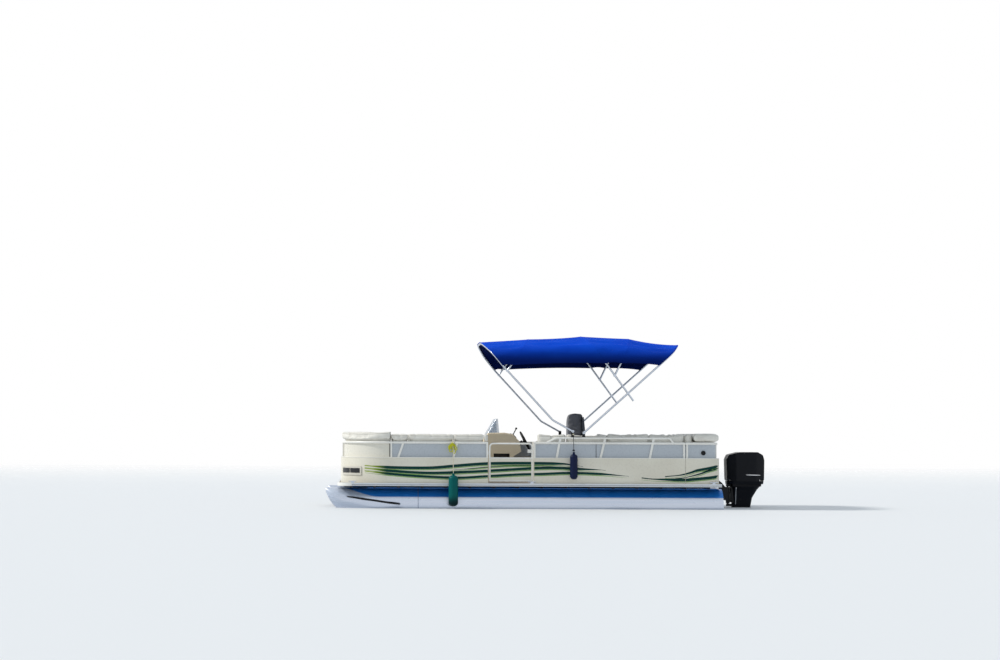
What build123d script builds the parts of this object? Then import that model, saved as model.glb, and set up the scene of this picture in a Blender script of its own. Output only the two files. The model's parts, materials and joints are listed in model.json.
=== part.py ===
from build123d import *
import math
import os

# Pontoon boat, afloat. Millimetres, +X to the bow, +Y to port, +Z up.
# The origin is at the waterline, on the centreline, at the middle of the deck's length.

# Hull
deck_length = 6400
beam = 2590
deck_top = 420
board_thickness = 19
deck_bow_radius = 220
deck_stern_radius = 60
rail_height = 50
rail_thickness = 20
rail_lip = 2
tube_radius = 305
tube_top = 335
tube_inset = 365
tube_overhang = 30
nose_overhang = 200
riser_width = 150
riser_height = 5
beam_height = 61
beam_flange = 40
beam_wall = 4
beam_count = 16
beam_end_gap = 40
beam_end_margin = 200

# Fence round the deck
fence_side_margin = 40
fence_bow_margin = 45
fence_stern_margin = 30
fence_bow_radius = 800
fence_stern_radius = 150
fence_skin = 25
ledge_z = 842
ledge_height = 9
ledge_out = 5
upper_skin = 10
rail_z = 1095
rail_tube_radius = 19
post_width = 30
bow_post_back = 847
bow_middle_post_x = 1600
side_post_stations = [-1110, -1900]
short_stations = [bow_middle_post_x] + side_post_stations
stern_split = 580
split_gap = 2
brace_width = 38
well_half_width = 620
well_depth = 370
well_radius = 90
raised_rail_rise = 83
raised_rail_bow_x = -270
raised_rail_end = 190

# Gates
side_gate_bow_x = 687
side_gate_stern_x = -62
bow_fence_width = 875
bow_seat_margin = 60
gate_gap = 6
gate_tube_radius = 14

# Seats
seat_base_top = 740
seat_top = 865
seat_depth = 610
seat_inset = 76
seat_rounding = 34
lounge_aft_x = 760
back_top = 1262
back_rounding = 45
side_back_drop = 32
back_thickness = 135
roll_inset = 16
roll_above_rail = 13
cushion_gap = 8
cushion_rest = 0.3

# Helm
console_bow_x = 670
console_aft_x = 50
console_width = 750
console_side_gap = 85
console_top = 1270

# Chair
chair_x = -700
chair_off_console = 510
chair_seat_z = 770

# Motor
transom_overhang = 100
tilt_set = 60
steer_set = 140
tilt_z = 400
propeller_z = -420
cowl_width = 440

# Bimini
bow_tube_radius = 16
bow_pitch_y = 41
bow_stand_off = 25
running_gap = 0.1

# Places that follow from the sizes
parts = {}
half_length = deck_length / 2
pontoon_y = beam / 2 - tube_inset
tube_stern_x = -half_length - tube_overhang
nose_tip_x = half_length + nose_overhang
fence_half_width = beam / 2 - fence_side_margin
fence_bow_x = half_length - fence_bow_margin
bow_gate_half_width = fence_half_width - bow_fence_width
# the rounded corner is as large as the fence beside the bow gate leaves room for
corner_radius = min(fence_bow_radius, bow_fence_width - bow_seat_margin - 1)
fence_stern_x = fence_stern_margin - half_length
bow_post_x = fence_bow_x - bow_post_back
stern_split_x = fence_stern_x + stern_split
well_x = fence_stern_x + well_depth
raised_rail_z = rail_z + raised_rail_rise
raised_rail_stern_x = stern_split_x + raised_rail_end
console_starboard_y = console_side_gap - fence_half_width
console_port_y = console_starboard_y + console_width
chair_y = console_starboard_y + chair_off_console
transom_x = -half_length - transom_overhang
tilt_x = transom_x - tilt_set
steer_x = tilt_x - steer_set


def block(x, y, z):
    """A box between two limits on each axis."""
    sizes = [high - low for low, high in (x, y, z)]
    middles = [(high + low) / 2 for low, high in (x, y, z)]
    return Pos(*middles) * Box(*sizes)


def both_sides(shape):
    """The port shape and its mirror image to starboard."""
    return Compound([shape, shape.mirror(Plane.XZ)])


def group(shapes):
    """Several solids that stay separate pieces in one node."""
    return Compound([solid for shape in shapes for solid in shape.solids()])


def side_profile(points, radius=0):
    """A face in the XZ plane, from (x, z) points."""
    corners = [(x, 0, z) for x, z in points]
    return make_face(FilletPolyline(*corners, radius=radius, close=True))


def side_prism(points, y_low, y_high, radius=0):
    """A side outline in (x, z) run across the boat."""
    face = side_profile(points, radius)
    return Pos(0, y_low, 0) * extrude(face, amount=y_high - y_low, dir=(0, 1, 0))


def plan_prism(points, z_low, z_high, radius=0):
    """A plan outline in (x, y) run upward."""
    corners = [(x, y, 0) for x, y in points]
    face = make_face(FilletPolyline(*corners, radius=radius, close=True))
    return Pos(0, 0, z_low) * extrude(face, amount=z_high - z_low, dir=(0, 0, 1))


def bent_path(points, bends):
    """Straight runs joined by arcs, or one straight run."""
    if len(points) == 2:
        return Line(*points)
    return FilletPolyline(*points, radius=bends)


def run_along(points, radius, profile):
    """A profile in (inset from the fence's outer face, z), swept along a plan path."""
    path = bent_path([(x, y, 0) for x, y in points], radius)
    heading = path % 0
    inward = Vector(0, 0, 1).cross(heading)
    start = Plane(origin=path @ 0, x_dir=inward, z_dir=heading)
    return sweep(start * profile, path=path)


def strip(inset, thickness, z_low, z_high):
    """A rectangular fence profile."""
    return Pos(inset + thickness / 2, (z_low + z_high) / 2) * Rectangle(thickness, z_high - z_low)


def padded_strip(inset, thickness, z_low, z_high, rounding):
    """A cushion's profile with its edges rounded."""
    middle = Pos(inset + thickness / 2, (z_low + z_high) / 2)
    return middle * RectangleRounded(thickness, z_high - z_low, rounding)


def tube(points, radius, bends):
    """A round tube along a bent path."""
    path = bent_path(points, bends)
    start = Plane(origin=path @ 0, z_dir=path % 0)
    return sweep(start * Circle(radius), path=path)


def rod(start, end, radius):
    """A straight round bar between two points."""
    axis = Vector(*end) - Vector(*start)
    return extrude(Plane(origin=start, z_dir=axis) * Circle(radius), amount=axis.length)


# Pontoons
# distance back from the tip, taken off the radius: the tops stay level and the bottom rises
nose_sections = [
    (1300, 0),
    (1000, 1),
    (650, 20),
    (350, 80),
    (170, 138),
    (60, 205),
    (0, 271),
]
weld_bands = [1857, -1008]
# distance back from the tip, taken off the radius there, drop of the spray rail below the tube's top
spray_rail_points = [(330, 87, 132), (640, 21, 175), (950, 2, 218), (1243, 0, 260)]


def pontoon():
    centre_z = tube_top - tube_radius
    body = extrude(
        Plane.YZ.offset(tube_stern_x) * Pos(pontoon_y, centre_z) * Circle(tube_radius),
        amount=nose_tip_x - nose_sections[0][0] - tube_stern_x,
    )
    faces = []
    for back, cut in nose_sections:
        radius = tube_radius - cut
        middle = Plane.YZ.offset(nose_tip_x - back) * Pos(pontoon_y, tube_top - radius)
        faces.append(middle * Circle(radius))
    body += loft(faces)
    for x in weld_bands:
        body += extrude(
            Plane.YZ.offset(x - 6) * Pos(pontoon_y, centre_z) * Circle(tube_radius + 2.5),
            amount=12,
        )
    half = riser_width / 2
    riser_x = (tube_stern_x + 80, nose_tip_x - 700)
    body += block(riser_x, (pontoon_y - half, pontoon_y + half), (tube_top - 60, tube_top + riser_height))
    keel = Pos(0, 0, tube_top - 2 * tube_radius)
    keel_x = (tube_stern_x + 130, nose_tip_x - 1100)
    body += keel * block(keel_x, (pontoon_y - 12, pontoon_y + 12), (-18, 20))
    rail_faces = []
    for back, cut, drop in spray_rail_points:
        x = nose_tip_x - back
        radius = tube_radius - cut
        z = tube_top - drop
        y = pontoon_y + math.sqrt(radius**2 - (radius - drop) ** 2)
        corners = [(y - 14, z + 16), (y + 16, z - 2), (y + 14, z - 12), (y - 14, z - 10)]
        rail_faces.append(make_face(Polyline(*[(x, a, b) for a, b in corners], close=True)))
    body += loft(rail_faces, ruled=True)
    return body


port_pontoon = pontoon()
parts["port_pontoon"] = port_pontoon
parts["starboard_pontoon"] = port_pontoon.mirror(Plane.XZ)


# Deck
def deck_outline(shrink):
    """The deck's plan outline, moved in by a margin."""
    half_x = half_length - shrink
    half_y = beam / 2 - shrink
    outline = Rectangle(2 * half_x, 2 * half_y)
    bow = outline.vertices().filter_by(lambda vertex: vertex.X > 0)
    stern = outline.vertices().filter_by(lambda vertex: vertex.X < 0)
    outline = fillet(bow, deck_bow_radius - shrink)
    stern = outline.vertices().filter_by(lambda vertex: vertex.X < -half_x + 1)
    return fillet(stern, deck_stern_radius - shrink)


board_bottom = deck_top - board_thickness
board = extrude(deck_outline(rail_thickness), amount=board_thickness)
parts["deck_board"] = Pos(0, 0, board_bottom) * board
rail_top = deck_top + rail_lip
rail_bottom = rail_top - rail_height
ring = extrude(deck_outline(0), amount=rail_height)
ring -= extrude(deck_outline(rail_thickness), amount=rail_height)
parts["rub_rail"] = Pos(0, 0, rail_bottom) * ring

beams = []
beam_bottom = board_bottom - beam_height
beam_half = beam / 2 - beam_end_gap
first_beam = beam_end_margin - half_length
beam_pitch = (deck_length - 2 * beam_end_margin - beam_flange) / (beam_count - 1)
for index in range(beam_count):
    x = first_beam + index * beam_pitch
    channel = block((x, x + beam_flange), (-beam_half, beam_half), (beam_bottom, board_bottom))
    channel -= block(
        (x + beam_wall, x + beam_flange),
        (-beam_half, beam_half),
        (beam_bottom + beam_wall, board_bottom - beam_wall),
    )
    beams.append(channel)
parts["cross_members"] = group(beams)


# Fence
def mirrored(points):
    return [(x, -y) for x, y in reversed(points)]


bow_run = [(fence_bow_x, bow_gate_half_width + gate_gap), (fence_bow_x, fence_half_width)]
port_bow_path = bow_run + [(side_gate_bow_x + gate_gap, fence_half_width)]
side_end_x = stern_split_x + split_gap
port_side_path = [(side_gate_stern_x - gate_gap, fence_half_width), (side_end_x, fence_half_width)]
starboard_path = mirrored(bow_run + [(side_end_x, fence_half_width)])
half_stern = [
    (stern_split_x - split_gap, fence_half_width),
    (fence_stern_x, fence_half_width),
    (fence_stern_x, well_half_width),
    (well_x, well_half_width),
]
stern_path = half_stern + mirrored(half_stern)
stern_radii = [fence_stern_radius, well_radius, well_radius]
stern_radii += reversed(stern_radii)
# the stern's rails and posts are made as two corners and the frame round the motor well
well_frame_y = well_half_width + 190
corner_frame_path = half_stern[:2] + [(fence_stern_x, well_frame_y + split_gap)]
well_frame_path = [(fence_stern_x, well_frame_y)] + half_stern[2:]
well_frame_path += mirrored(well_frame_path)
fence_bottom = deck_top
lower_top = ledge_z
upper_bottom = ledge_z + ledge_height
upper_top = rail_z - rail_tube_radius


def post_at(x, y):
    """A square post behind the skins; the short ones stop under the ledge."""
    top = ledge_z + 2 if x in short_stations else rail_z - 12
    return Pos(x, y, 0) * block(
        (-post_width / 2, post_width / 2),
        (-post_width / 2, post_width / 2),
        (fence_bottom, top),
    )


frame_inset = fence_skin + post_width / 2
upper_inset = fence_skin + post_width
post_y = fence_half_width - frame_inset


def frame(path, radii, posts):
    """Top rail, ledge and posts of one length of fence."""
    made = run_along(path, radii, Pos(frame_inset, rail_z) * Circle(rail_tube_radius))
    ledge = strip(-ledge_out, fence_skin + post_width + ledge_out, ledge_z, upper_bottom)
    made += run_along(path, radii, ledge)
    for x, y in posts:
        made += post_at(x, y)
    return made


def brace(foot_x, top_x, foot_z=upper_bottom, top_z=rail_z):
    """A flat bar that leans across the upper panel."""
    half = brace_width / 2
    outline = [
        (foot_x - half, foot_z - 4),
        (foot_x + half, foot_z - 4),
        (top_x + half, top_z),
        (top_x - half, top_z),
    ]
    return side_prism(outline, post_y - 8, post_y + 6)


# foot and top of each leaning brace, forward and aft of the side gate
bow_braces = [(bow_post_x - 118, bow_post_x - 203), (1270, 1210)]
side_braces = [(-450, -510), (-1180, -1260), (-2000, -2070)]
gate_bow_post_x = side_gate_bow_x + gate_gap + post_width / 2
gate_stern_post_x = side_gate_stern_x - gate_gap - post_width / 2
bow_gate_post = (fence_bow_x - frame_inset, bow_gate_half_width + gate_gap + post_width / 2)
bow_stations = [bow_post_x, bow_middle_post_x, gate_bow_post_x]
side_stations = [gate_stern_post_x] + side_post_stations + [side_end_x + post_width / 2]

port_bow_posts = [(x, post_y) for x in bow_stations] + [bow_gate_post]
port_bow_frame = frame(port_bow_path, corner_radius, port_bow_posts)
for foot_x, top_x in bow_braces:
    port_bow_frame += brace(foot_x, top_x)
parts["port_bow_frame"] = port_bow_frame

port_side_frame = frame(port_side_path, 0, [(x, post_y) for x in side_stations])
raised_tube_radius = rail_tube_radius - 3


def raised_rail():
    """The second rail that carries the bimini, above the top rail."""
    points = [
        (raised_rail_bow_x, post_y, rail_z),
        (raised_rail_bow_x - 170, post_y, raised_rail_z),
        (raised_rail_stern_x + 60, post_y, raised_rail_z),
        (raised_rail_stern_x, post_y, rail_z),
    ]
    return tube(points, raised_tube_radius, [120, 50])


port_side_frame += raised_rail()
for foot_x, top_x in side_braces:
    port_side_frame += brace(foot_x, top_x, top_z=raised_rail_z)
parts["port_side_frame"] = port_side_frame

starboard_posts = [(x, -post_y) for x in bow_stations + side_stations]
starboard_posts.append((bow_gate_post[0], -bow_gate_post[1]))
starboard_frame = frame(starboard_path, corner_radius, starboard_posts)
starboard_frame += raised_rail().mirror(Plane.XZ)
for foot_x, top_x in bow_braces:
    starboard_frame += brace(foot_x, top_x).mirror(Plane.XZ)
for foot_x, top_x in side_braces:
    starboard_frame += brace(foot_x, top_x, top_z=raised_rail_z).mirror(Plane.XZ)
parts["starboard_frame"] = starboard_frame

stern_post_x = fence_stern_x + frame_inset
corner_posts = [(stern_split_x - split_gap - post_width, post_y), (stern_post_x, fence_half_width - 255)]
parts["stern_corner_frames"] = both_sides(frame(corner_frame_path, fence_stern_radius, corner_posts))
well_posts = [(stern_post_x, side * (well_half_width + 140)) for side in (1, -1)]
well_posts += [(well_x + frame_inset, side * (well_half_width - 170)) for side in (1, -1)]
parts["motor_well_frame"] = frame(well_frame_path, well_radius, well_posts)

# the upper panels stop behind the posts beside each gate
post_margin = gate_gap + post_width
upper_bow_run = [(fence_bow_x, bow_gate_half_width + post_margin), (fence_bow_x, fence_half_width)]
upper_paths = {
    "port_bow": upper_bow_run + [(side_gate_bow_x + post_margin, fence_half_width)],
    "port_side": [(side_gate_stern_x - post_margin, fence_half_width), (side_end_x, fence_half_width)],
    "starboard": mirrored(upper_bow_run + [(side_end_x, fence_half_width)]),
    "stern": stern_path,
}
skins = {
    "port_bow": (port_bow_path, corner_radius),
    "port_side": (port_side_path, 0),
    "starboard": (starboard_path, corner_radius),
    "stern": (stern_path, stern_radii),
}
upper = []
for name, (path, radii) in skins.items():
    parts[name + "_panels"] = run_along(path, radii, strip(0, fence_skin, fence_bottom, lower_top))
    upper_strip = strip(upper_inset, upper_skin, upper_bottom, upper_top)
    upper.append(run_along(upper_paths[name], radii, upper_strip))
parts["upper_panels"] = group(upper)


# Gates
def gate_frame(width, height_low, height_high):
    """A rounded tube frame standing in the YZ plane at x = 0, from y = 0 to y = -width."""
    r = gate_tube_radius
    low = height_low + r
    high = height_high - r
    points = [(0, -r, low), (0, -r, high), (0, r - width, high), (0, r - width, low)]
    made = tube(points, r, [60, 60])
    made += rod((0, -r, low + 2), (0, r - width, low + 2), r)
    made += rod((0, -r, ledge_z), (0, r - width, ledge_z), r - 2)
    return made


def gate_skin(width, height_low):
    """The gate's lower panel, between the tubes."""
    r = gate_tube_radius
    return block((-6, 6), (2 * r - width, -2 * r), (height_low + 2 * r + 2, ledge_z - r + 2))


gate_bottom = deck_top + 25
gate_top = rail_z + 2
side_gate_length = side_gate_bow_x - side_gate_stern_x - 2 * gate_gap
bow_gate_length = 2 * bow_gate_half_width - 2 * gate_gap
gate_y = post_y
side_gate_place = Pos(side_gate_bow_x - gate_gap, gate_y, 0) * Rot(0, 0, -90)
bow_gate_place = Pos(fence_bow_x - frame_inset, bow_gate_half_width - gate_gap, 0)
hinge_radius = 9
hinge_pin_radius = 4
hinge_back = gate_tube_radius + hinge_radius + 4
side_hinge = (side_gate_bow_x - gate_gap + 2, gate_y - hinge_back)
bow_hinge = (fence_bow_x - frame_inset - hinge_back, bow_gate_half_width - gate_gap + 2)


def hinge_knuckles(place, heights, arm_to, pin_drop=0):
    """Barrels on the hinge axis with an arm to the gate or the post; the post's carry the pins."""
    made = []
    for low, high in heights:
        axis = Pos(place[0], place[1], low)
        x0, x1 = sorted((place[0], arm_to[0]))
        y0, y1 = sorted((place[1], arm_to[1]))
        arm = block((x0 - 3, x1 + 3), (y0 - 3, y1 + 3), (low, high))
        barrel = axis * extrude(Circle(hinge_radius), amount=high - low) + arm
        if pin_drop:
            barrel += axis * Pos(0, 0, -pin_drop) * extrude(Circle(hinge_pin_radius), amount=pin_drop + 4)
        else:
            barrel -= axis * extrude(Circle(hinge_pin_radius + running_gap), amount=high - low)
        made.append(barrel)
    return made


knuckle_heights = [520, 900]
knuckle = 30
gate_knuckles = [(z, z + knuckle) for z in knuckle_heights]
post_knuckles = [(z + knuckle + 1, z + 2 * knuckle + 1) for z in knuckle_heights]
side_frame = side_gate_place * gate_frame(side_gate_length, gate_bottom, gate_top)
side_arm = (side_gate_bow_x - gate_gap - gate_tube_radius, gate_y - 8)
for piece in hinge_knuckles(side_hinge, gate_knuckles, side_arm):
    side_frame += piece
side_frame += block(
    (side_gate_stern_x + gate_gap + 20, side_gate_stern_x + gate_gap + 90),
    (gate_y - gate_tube_radius - 14, gate_y - gate_tube_radius + 4),
    (930, 985),
)
parts["side_gate_frame"] = side_frame
parts["side_gate_panel"] = side_gate_place * gate_skin(side_gate_length, gate_bottom)
bow_frame = bow_gate_place * gate_frame(bow_gate_length, gate_bottom, gate_top)
bow_arm = (fence_bow_x - frame_inset - 8, bow_gate_half_width - gate_gap - gate_tube_radius)
for piece in hinge_knuckles(bow_hinge, gate_knuckles, bow_arm):
    bow_frame += piece
parts["bow_gate_frame"] = bow_frame
parts["bow_gate_panel"] = bow_gate_place * gate_skin(bow_gate_length, gate_bottom)

post_arm = (gate_bow_post_x, post_y - post_width / 2)
for piece in hinge_knuckles(side_hinge, post_knuckles, post_arm, knuckle):
    parts["port_bow_frame"] += piece
post_arm = (bow_gate_post[0] - post_width / 2, bow_gate_post[1])
for piece in hinge_knuckles(bow_hinge, post_knuckles, post_arm, knuckle):
    parts["port_bow_frame"] += piece


# Fittings on the fence and deck
light_z = (548, 698)
light_angles = (34, 71)
light_proud = 16
light_depth = 50
light_recess = 10
lens_gap = 20
arc_centre = (fence_bow_x - corner_radius, fence_half_width - corner_radius)


def on_bow_corner(angles, out, depth, z, rounding=0):
    """A block that follows the rounded bow corner; angles run from +Y towards +X."""
    section = Pos(corner_radius + out - depth / 2, sum(z) / 2) * Rectangle(depth, z[1] - z[0])
    start, end = angles
    face = Plane(origin=(0, 0, 0), x_dir=(0, 1, 0), z_dir=(1, 0, 0)) * section
    made = revolve(face, Axis.Z, revolution_arc=end - start)
    made = Rot(0, 0, -end) * made
    if rounding:
        ends = [edge for edge in made.edges().filter_by(GeomType.LINE) if abs((edge % 0.5).Z) < 0.1]
        made = fillet(ends, rounding)
    return Pos(*arc_centre, 0) * made


def narrowed(angles, by):
    """Angles drawn in at both ends by a length along the fence."""
    turn = math.degrees(by / corner_radius)
    return angles[0] + turn, angles[1] - turn


def lowered(z, by):
    return z[0] + by, z[1] - by


lamp_body = on_bow_corner(light_angles, light_proud, light_depth, light_z, 18)
lens_angles = narrowed(light_angles, 22)
lens_z = lowered(light_z, 30)
lamp_body -= on_bow_corner(lens_angles, light_proud + 10, light_recess + 10, lens_z)
lamp_hole = on_bow_corner(light_angles, light_proud + 50, light_depth + 100, light_z, 18)
parts["port_bow_panels"] -= lamp_hole
parts["starboard_panels"] -= lamp_hole.mirror(Plane.XZ)
parts["docking_lights"] = both_sides(lamp_body)
lens_middle = sum(lens_angles) / 2
half_gap = math.degrees(lens_gap / 2 / corner_radius)
lens_ends = narrowed(lens_angles, 10)
lenses = []
for angles in ((lens_ends[0], lens_middle - half_gap), (lens_middle + half_gap, lens_ends[1])):
    lens = on_bow_corner(angles, light_proud - light_recess + 6, 6, lowered(lens_z, 8), 3)
    lenses += [lens, lens.mirror(Plane.XZ)]
parts["docking_light_lenses"] = group(lenses)

cleats = []
cleat_y = beam / 2 - 21
horn_z = rail_top + 26
for x in (-35, half_length - 250, 140 - half_length):
    foot = block((x - 34, x + 34), (cleat_y - 15, cleat_y + 15), (rail_top, rail_top + 10))
    horns = rod((x - 66, cleat_y, horn_z), (x + 66, cleat_y, horn_z), 7)
    stem = block((x - 22, x + 22), (cleat_y - 6, cleat_y + 6), (rail_top + 8, horn_z))
    cleat = foot + horns + stem
    cleats += [cleat, cleat.mirror(Plane.XZ)]
parts["mooring_cleats"] = group(cleats)

filler_x = fence_stern_x + 275
filler_z = upper_bottom + 87
filler_plane = Plane(origin=(filler_x, fence_half_width - upper_inset, filler_z), z_dir=(0, 1, 0))
filler_cap = extrude(filler_plane * Circle(38), amount=14)
parts["fuel_filler_cap"] = filler_cap + extrude(filler_plane * Circle(24), amount=22)


# Seats
def seat_along(points, radius):
    """A seat cushion's profile run along the fence."""
    section = padded_strip(seat_inset, seat_depth, seat_base_top, seat_top, seat_rounding)
    return run_along(points, radius, section)


def back_along(points, radius, drop=0):
    """A back cushion's profile run along the fence, with a roll that reaches out over the top rail."""
    low = seat_top + cushion_rest
    top = back_top - drop
    section = padded_strip(back_inset, back_thickness, low, top, back_rounding)
    roll_depth = back_inset + back_thickness - roll_inset
    section += padded_strip(roll_inset, roll_depth, roll_low, top, back_rounding)
    return run_along(points, radius, section)


back_inset = seat_inset + 2
roll_low = rail_z + rail_tube_radius + roll_above_rail
corner_seam_x = bow_post_x - 2
corner_start = [(fence_bow_x, bow_gate_half_width + bow_seat_margin), (fence_bow_x, fence_half_width)]
corner_path = corner_start + [(corner_seam_x + cushion_gap / 2, fence_half_width)]
base_path = corner_start + [(lounge_aft_x, fence_half_width)]
base_strip = strip(seat_inset, seat_depth, deck_top, seat_base_top)
parts["bow_lounge_bases"] = both_sides(run_along(base_path, corner_radius, base_strip))


def straight(x_bow, x_stern):
    """A straight stretch along the port side, with half a seam's gap at each end."""
    half = cushion_gap / 2
    return [(x_bow - half, fence_half_width), (x_stern + half, fence_half_width)]


bow_seats = [seat_along(corner_path, corner_radius)]
bow_backs = [back_along(corner_path, corner_radius)]
seat_seams = [corner_seam_x, 1540, lounge_aft_x]
back_seams = [corner_seam_x, corner_seam_x - 281, 1265, lounge_aft_x]
for x_bow, x_stern in zip(seat_seams, seat_seams[1:]):
    bow_seats.append(seat_along(straight(x_bow, x_stern), 0))
for x_bow, x_stern in zip(back_seams, back_seams[1:]):
    bow_backs.append(back_along(straight(x_bow, x_stern), 0, side_back_drop))
parts["bow_seat_cushions"] = both_sides(group(bow_seats))
parts["bow_back_cushions"] = both_sides(group(bow_backs))

side_base_bow_x = -90
end_panel = 40
rear_back_x = well_x + seat_inset
starboard_base_bow_x = -1350
seat_y = fence_half_width - seat_inset
inner_y = seat_y - seat_depth
base_z = (deck_top, seat_base_top)
stern_base = block((rear_back_x, rear_back_x + seat_depth), (-seat_y, seat_y), base_z)
stern_base += block((rear_back_x, side_base_bow_x), (inner_y, seat_y), base_z)
stern_base += block((rear_back_x, starboard_base_bow_x), (-seat_y, -inner_y), base_z)
end_panel_x = (side_base_bow_x - end_panel, side_base_bow_x)
stern_base += block(end_panel_x, (inner_y, seat_y), (deck_top, back_top - 150))
parts["stern_lounge_base"] = stern_base
pod_x = (fence_stern_x + seat_inset, rear_back_x - cushion_gap)
pod_y = (well_half_width + seat_inset, seat_y)
pod_top = rail_z + rail_tube_radius + 4
pod = block(pod_x, pod_y, (deck_top, pod_top))
pod_corner = pod.edges().filter_by(Axis.Z).sort_by(lambda edge: edge.center().X - edge.center().Y)[0]
pod = fillet(pod_corner, fence_stern_radius - seat_inset)
parts["stern_corner_pods"] = both_sides(pod)


def cushion(x, y, z, rounding):
    """A box with all its edges rounded."""
    shape = block(x, y, z)
    return fillet(shape.edges(), rounding)


seat_z = (seat_base_top, seat_top)
half_seam = cushion_gap / 2
corner_x = rear_back_x + seat_depth
side_end = side_base_bow_x - end_panel - 4
stern_seats = []
side_seams = [side_end, -820, -1500, corner_x]
for x_bow, x_stern in zip(side_seams, side_seams[1:]):
    stern_seats.append(cushion((x_stern + cushion_gap, x_bow), (inner_y, seat_y), seat_z, seat_rounding))
starboard_seat_x = (corner_x + cushion_gap, starboard_base_bow_x)
stern_seats.append(cushion(starboard_seat_x, (-seat_y, -inner_y), seat_z, seat_rounding))
seams_y = [seat_y, inner_y, 0, -inner_y, -seat_y]
for y_high, y_low in zip(seams_y, seams_y[1:]):
    across = (y_low + half_seam, y_high - half_seam)
    stern_seats.append(cushion((rear_back_x, corner_x), across, seat_z, seat_rounding))

back_low = seat_top + cushion_rest
rear_top = back_top - 20
back_bow_x = rear_back_x + back_thickness
back_y = (fence_half_width - back_inset - back_thickness, fence_half_width - back_inset)
starboard_back_y = (-back_y[1], -back_y[0])
# forward end, after end, top
side_backs = [
    (side_end, -617, back_top - 30),
    (-617, -1300, back_top - side_back_drop),
    (-1300, -2000, rear_top),
    (-2000, back_bow_x, rear_top),
]
stern_backs = []
for x_bow, x_stern, top in side_backs:
    stern_backs.append(cushion((x_stern + cushion_gap, x_bow), back_y, (back_low, top), back_rounding))
for x_bow, x_stern in ((starboard_base_bow_x, -2000), (-2000, back_bow_x)):
    along = (x_stern + cushion_gap, x_bow)
    stern_backs.append(cushion(along, starboard_back_y, (back_low, rear_top), back_rounding))
back_seams_y = [back_y[1], inner_y, 0, -inner_y, -back_y[1]]
for y_high, y_low in zip(back_seams_y, back_seams_y[1:]):
    across = (y_low + half_seam, y_high - half_seam)
    stern_backs.append(cushion((rear_back_x + 2, back_bow_x), across, (back_low, rear_top), back_rounding))
pad_x = (fence_stern_x + roll_inset, pod_x[1])
pad_y = (pod_y[0], fence_half_width - roll_inset)
corner_pad = cushion(pad_x, pad_y, (pod_top, back_top - 10), 48)
parts["stern_seat_cushions"] = group(stern_seats)
parts["stern_back_cushions"] = group(stern_backs)
parts["corner_pads"] = both_sides(corner_pad)


# Helm
console_outline = [
    (console_aft_x + 110, deck_top),
    (console_aft_x + 110, console_top - 410),
    (console_aft_x - 20, console_top - 330),
    (console_aft_x + 10, console_top - 150),
    (console_aft_x + 130, console_top - 25),
    (console_aft_x + 270, console_top),
    (console_bow_x - 60, console_top - 6),
    (console_bow_x, console_top - 90),
    (console_bow_x, deck_top),
]
console = side_prism(console_outline, console_starboard_y, console_port_y)
cubby_x = (console_aft_x + 180, console_bow_x - 160)
cubby_y = (console_port_y - 240, console_port_y + 10)
console -= block(cubby_x, cubby_y, (deck_top + 140, deck_top + 485))
top_edges = [
    edge for edge in console.edges() if edge.center().Z > console_top - 80 and abs((edge % 0.5).Y) < 0.1
]
console = fillet(top_edges, 28)
parts["helm_console"] = console

screen_wall = 6
screen_low = console_top - 80
screen_high = console_top + 240
console_half = console_width / 2


def screen_face(x_bow, x_aft, half_y, corner, z):
    """A thin U in plan: across the front with a return on each side."""
    middle_y = (console_port_y + console_starboard_y) / 2

    def line(shrink):
        return [
            (x_aft, middle_y + half_y - shrink),
            (x_bow - shrink, middle_y + half_y - shrink),
            (x_bow - shrink, middle_y - half_y + shrink),
            (x_aft, middle_y - half_y + shrink),
        ]

    outer = FilletPolyline(*[(x, y, z) for x, y in line(0)], radius=corner)
    inner = FilletPolyline(*[(x, y, z) for x, y in line(screen_wall)], radius=corner - screen_wall)
    ends = [Line(outer @ 0, inner @ 0), Line(outer @ 1, inner @ 1)]
    return make_face(outer.edges() + inner.edges() + ends)


screen_foot = screen_face(console_bow_x - 2, console_bow_x - 265, console_half - 23, 70, screen_low)
screen_head = screen_face(console_bow_x - 190, console_bow_x - 240, console_half - 85, 34, screen_high)
parts["windscreen"] = loft([screen_foot, screen_head], ruled=True) - console

wheel_tilt = 28
wheel_centre = (console_aft_x - 112, console_starboard_y + 370, console_top - 140)
wheel_place = Pos(*wheel_centre) * Rot(0, -90 + wheel_tilt, 0)
wheel_radius = 170
wheel_rim = 14
wheel_shaft = 12
wheel_shaft_length = 52
hub_radius = 36
hub_length = 34
spoke_drop = 8
wheel = Torus(wheel_radius, wheel_rim)
for angle in (90, 210, 330):
    wheel += Rot(0, 0, angle) * Pos(wheel_radius / 2, 0, -spoke_drop) * Box(wheel_radius, 30, 8)
wheel += Pos(0, 0, -12) * Cylinder(hub_radius, hub_length)
wheel += Pos(0, 0, -wheel_shaft_length / 2 - 20) * Cylinder(wheel_shaft, wheel_shaft_length)
parts["steering_wheel"] = wheel_place * wheel
column_length = 80
column_place = Pos(0, 0, -45 - column_length / 2)
column = column_place * Cylinder(34, column_length)
column -= column_place * Cylinder(wheel_shaft + running_gap, column_length + 1)
parts["steering_column"] = (wheel_place * column) - console

throttle_y = console_starboard_y + 65
throttle_outline = [
    (console_aft_x + 20, console_top - 150),
    (console_aft_x + 20, console_top - 80),
    (console_aft_x + 80, console_top - 20),
    (console_aft_x + 130, console_top - 8),
    (console_aft_x + 150, console_top - 70),
]
throttle_base = side_prism(throttle_outline, throttle_y - 32, throttle_y + 32)
knob_place = (console_aft_x + 20, throttle_y, console_top + 75)
throttle_lever = rod((console_aft_x + 78, throttle_y, console_top - 40), knob_place, 9)
parts["throttle_control"] = throttle_base - console + throttle_lever + Pos(*knob_place) * Sphere(19)

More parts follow.
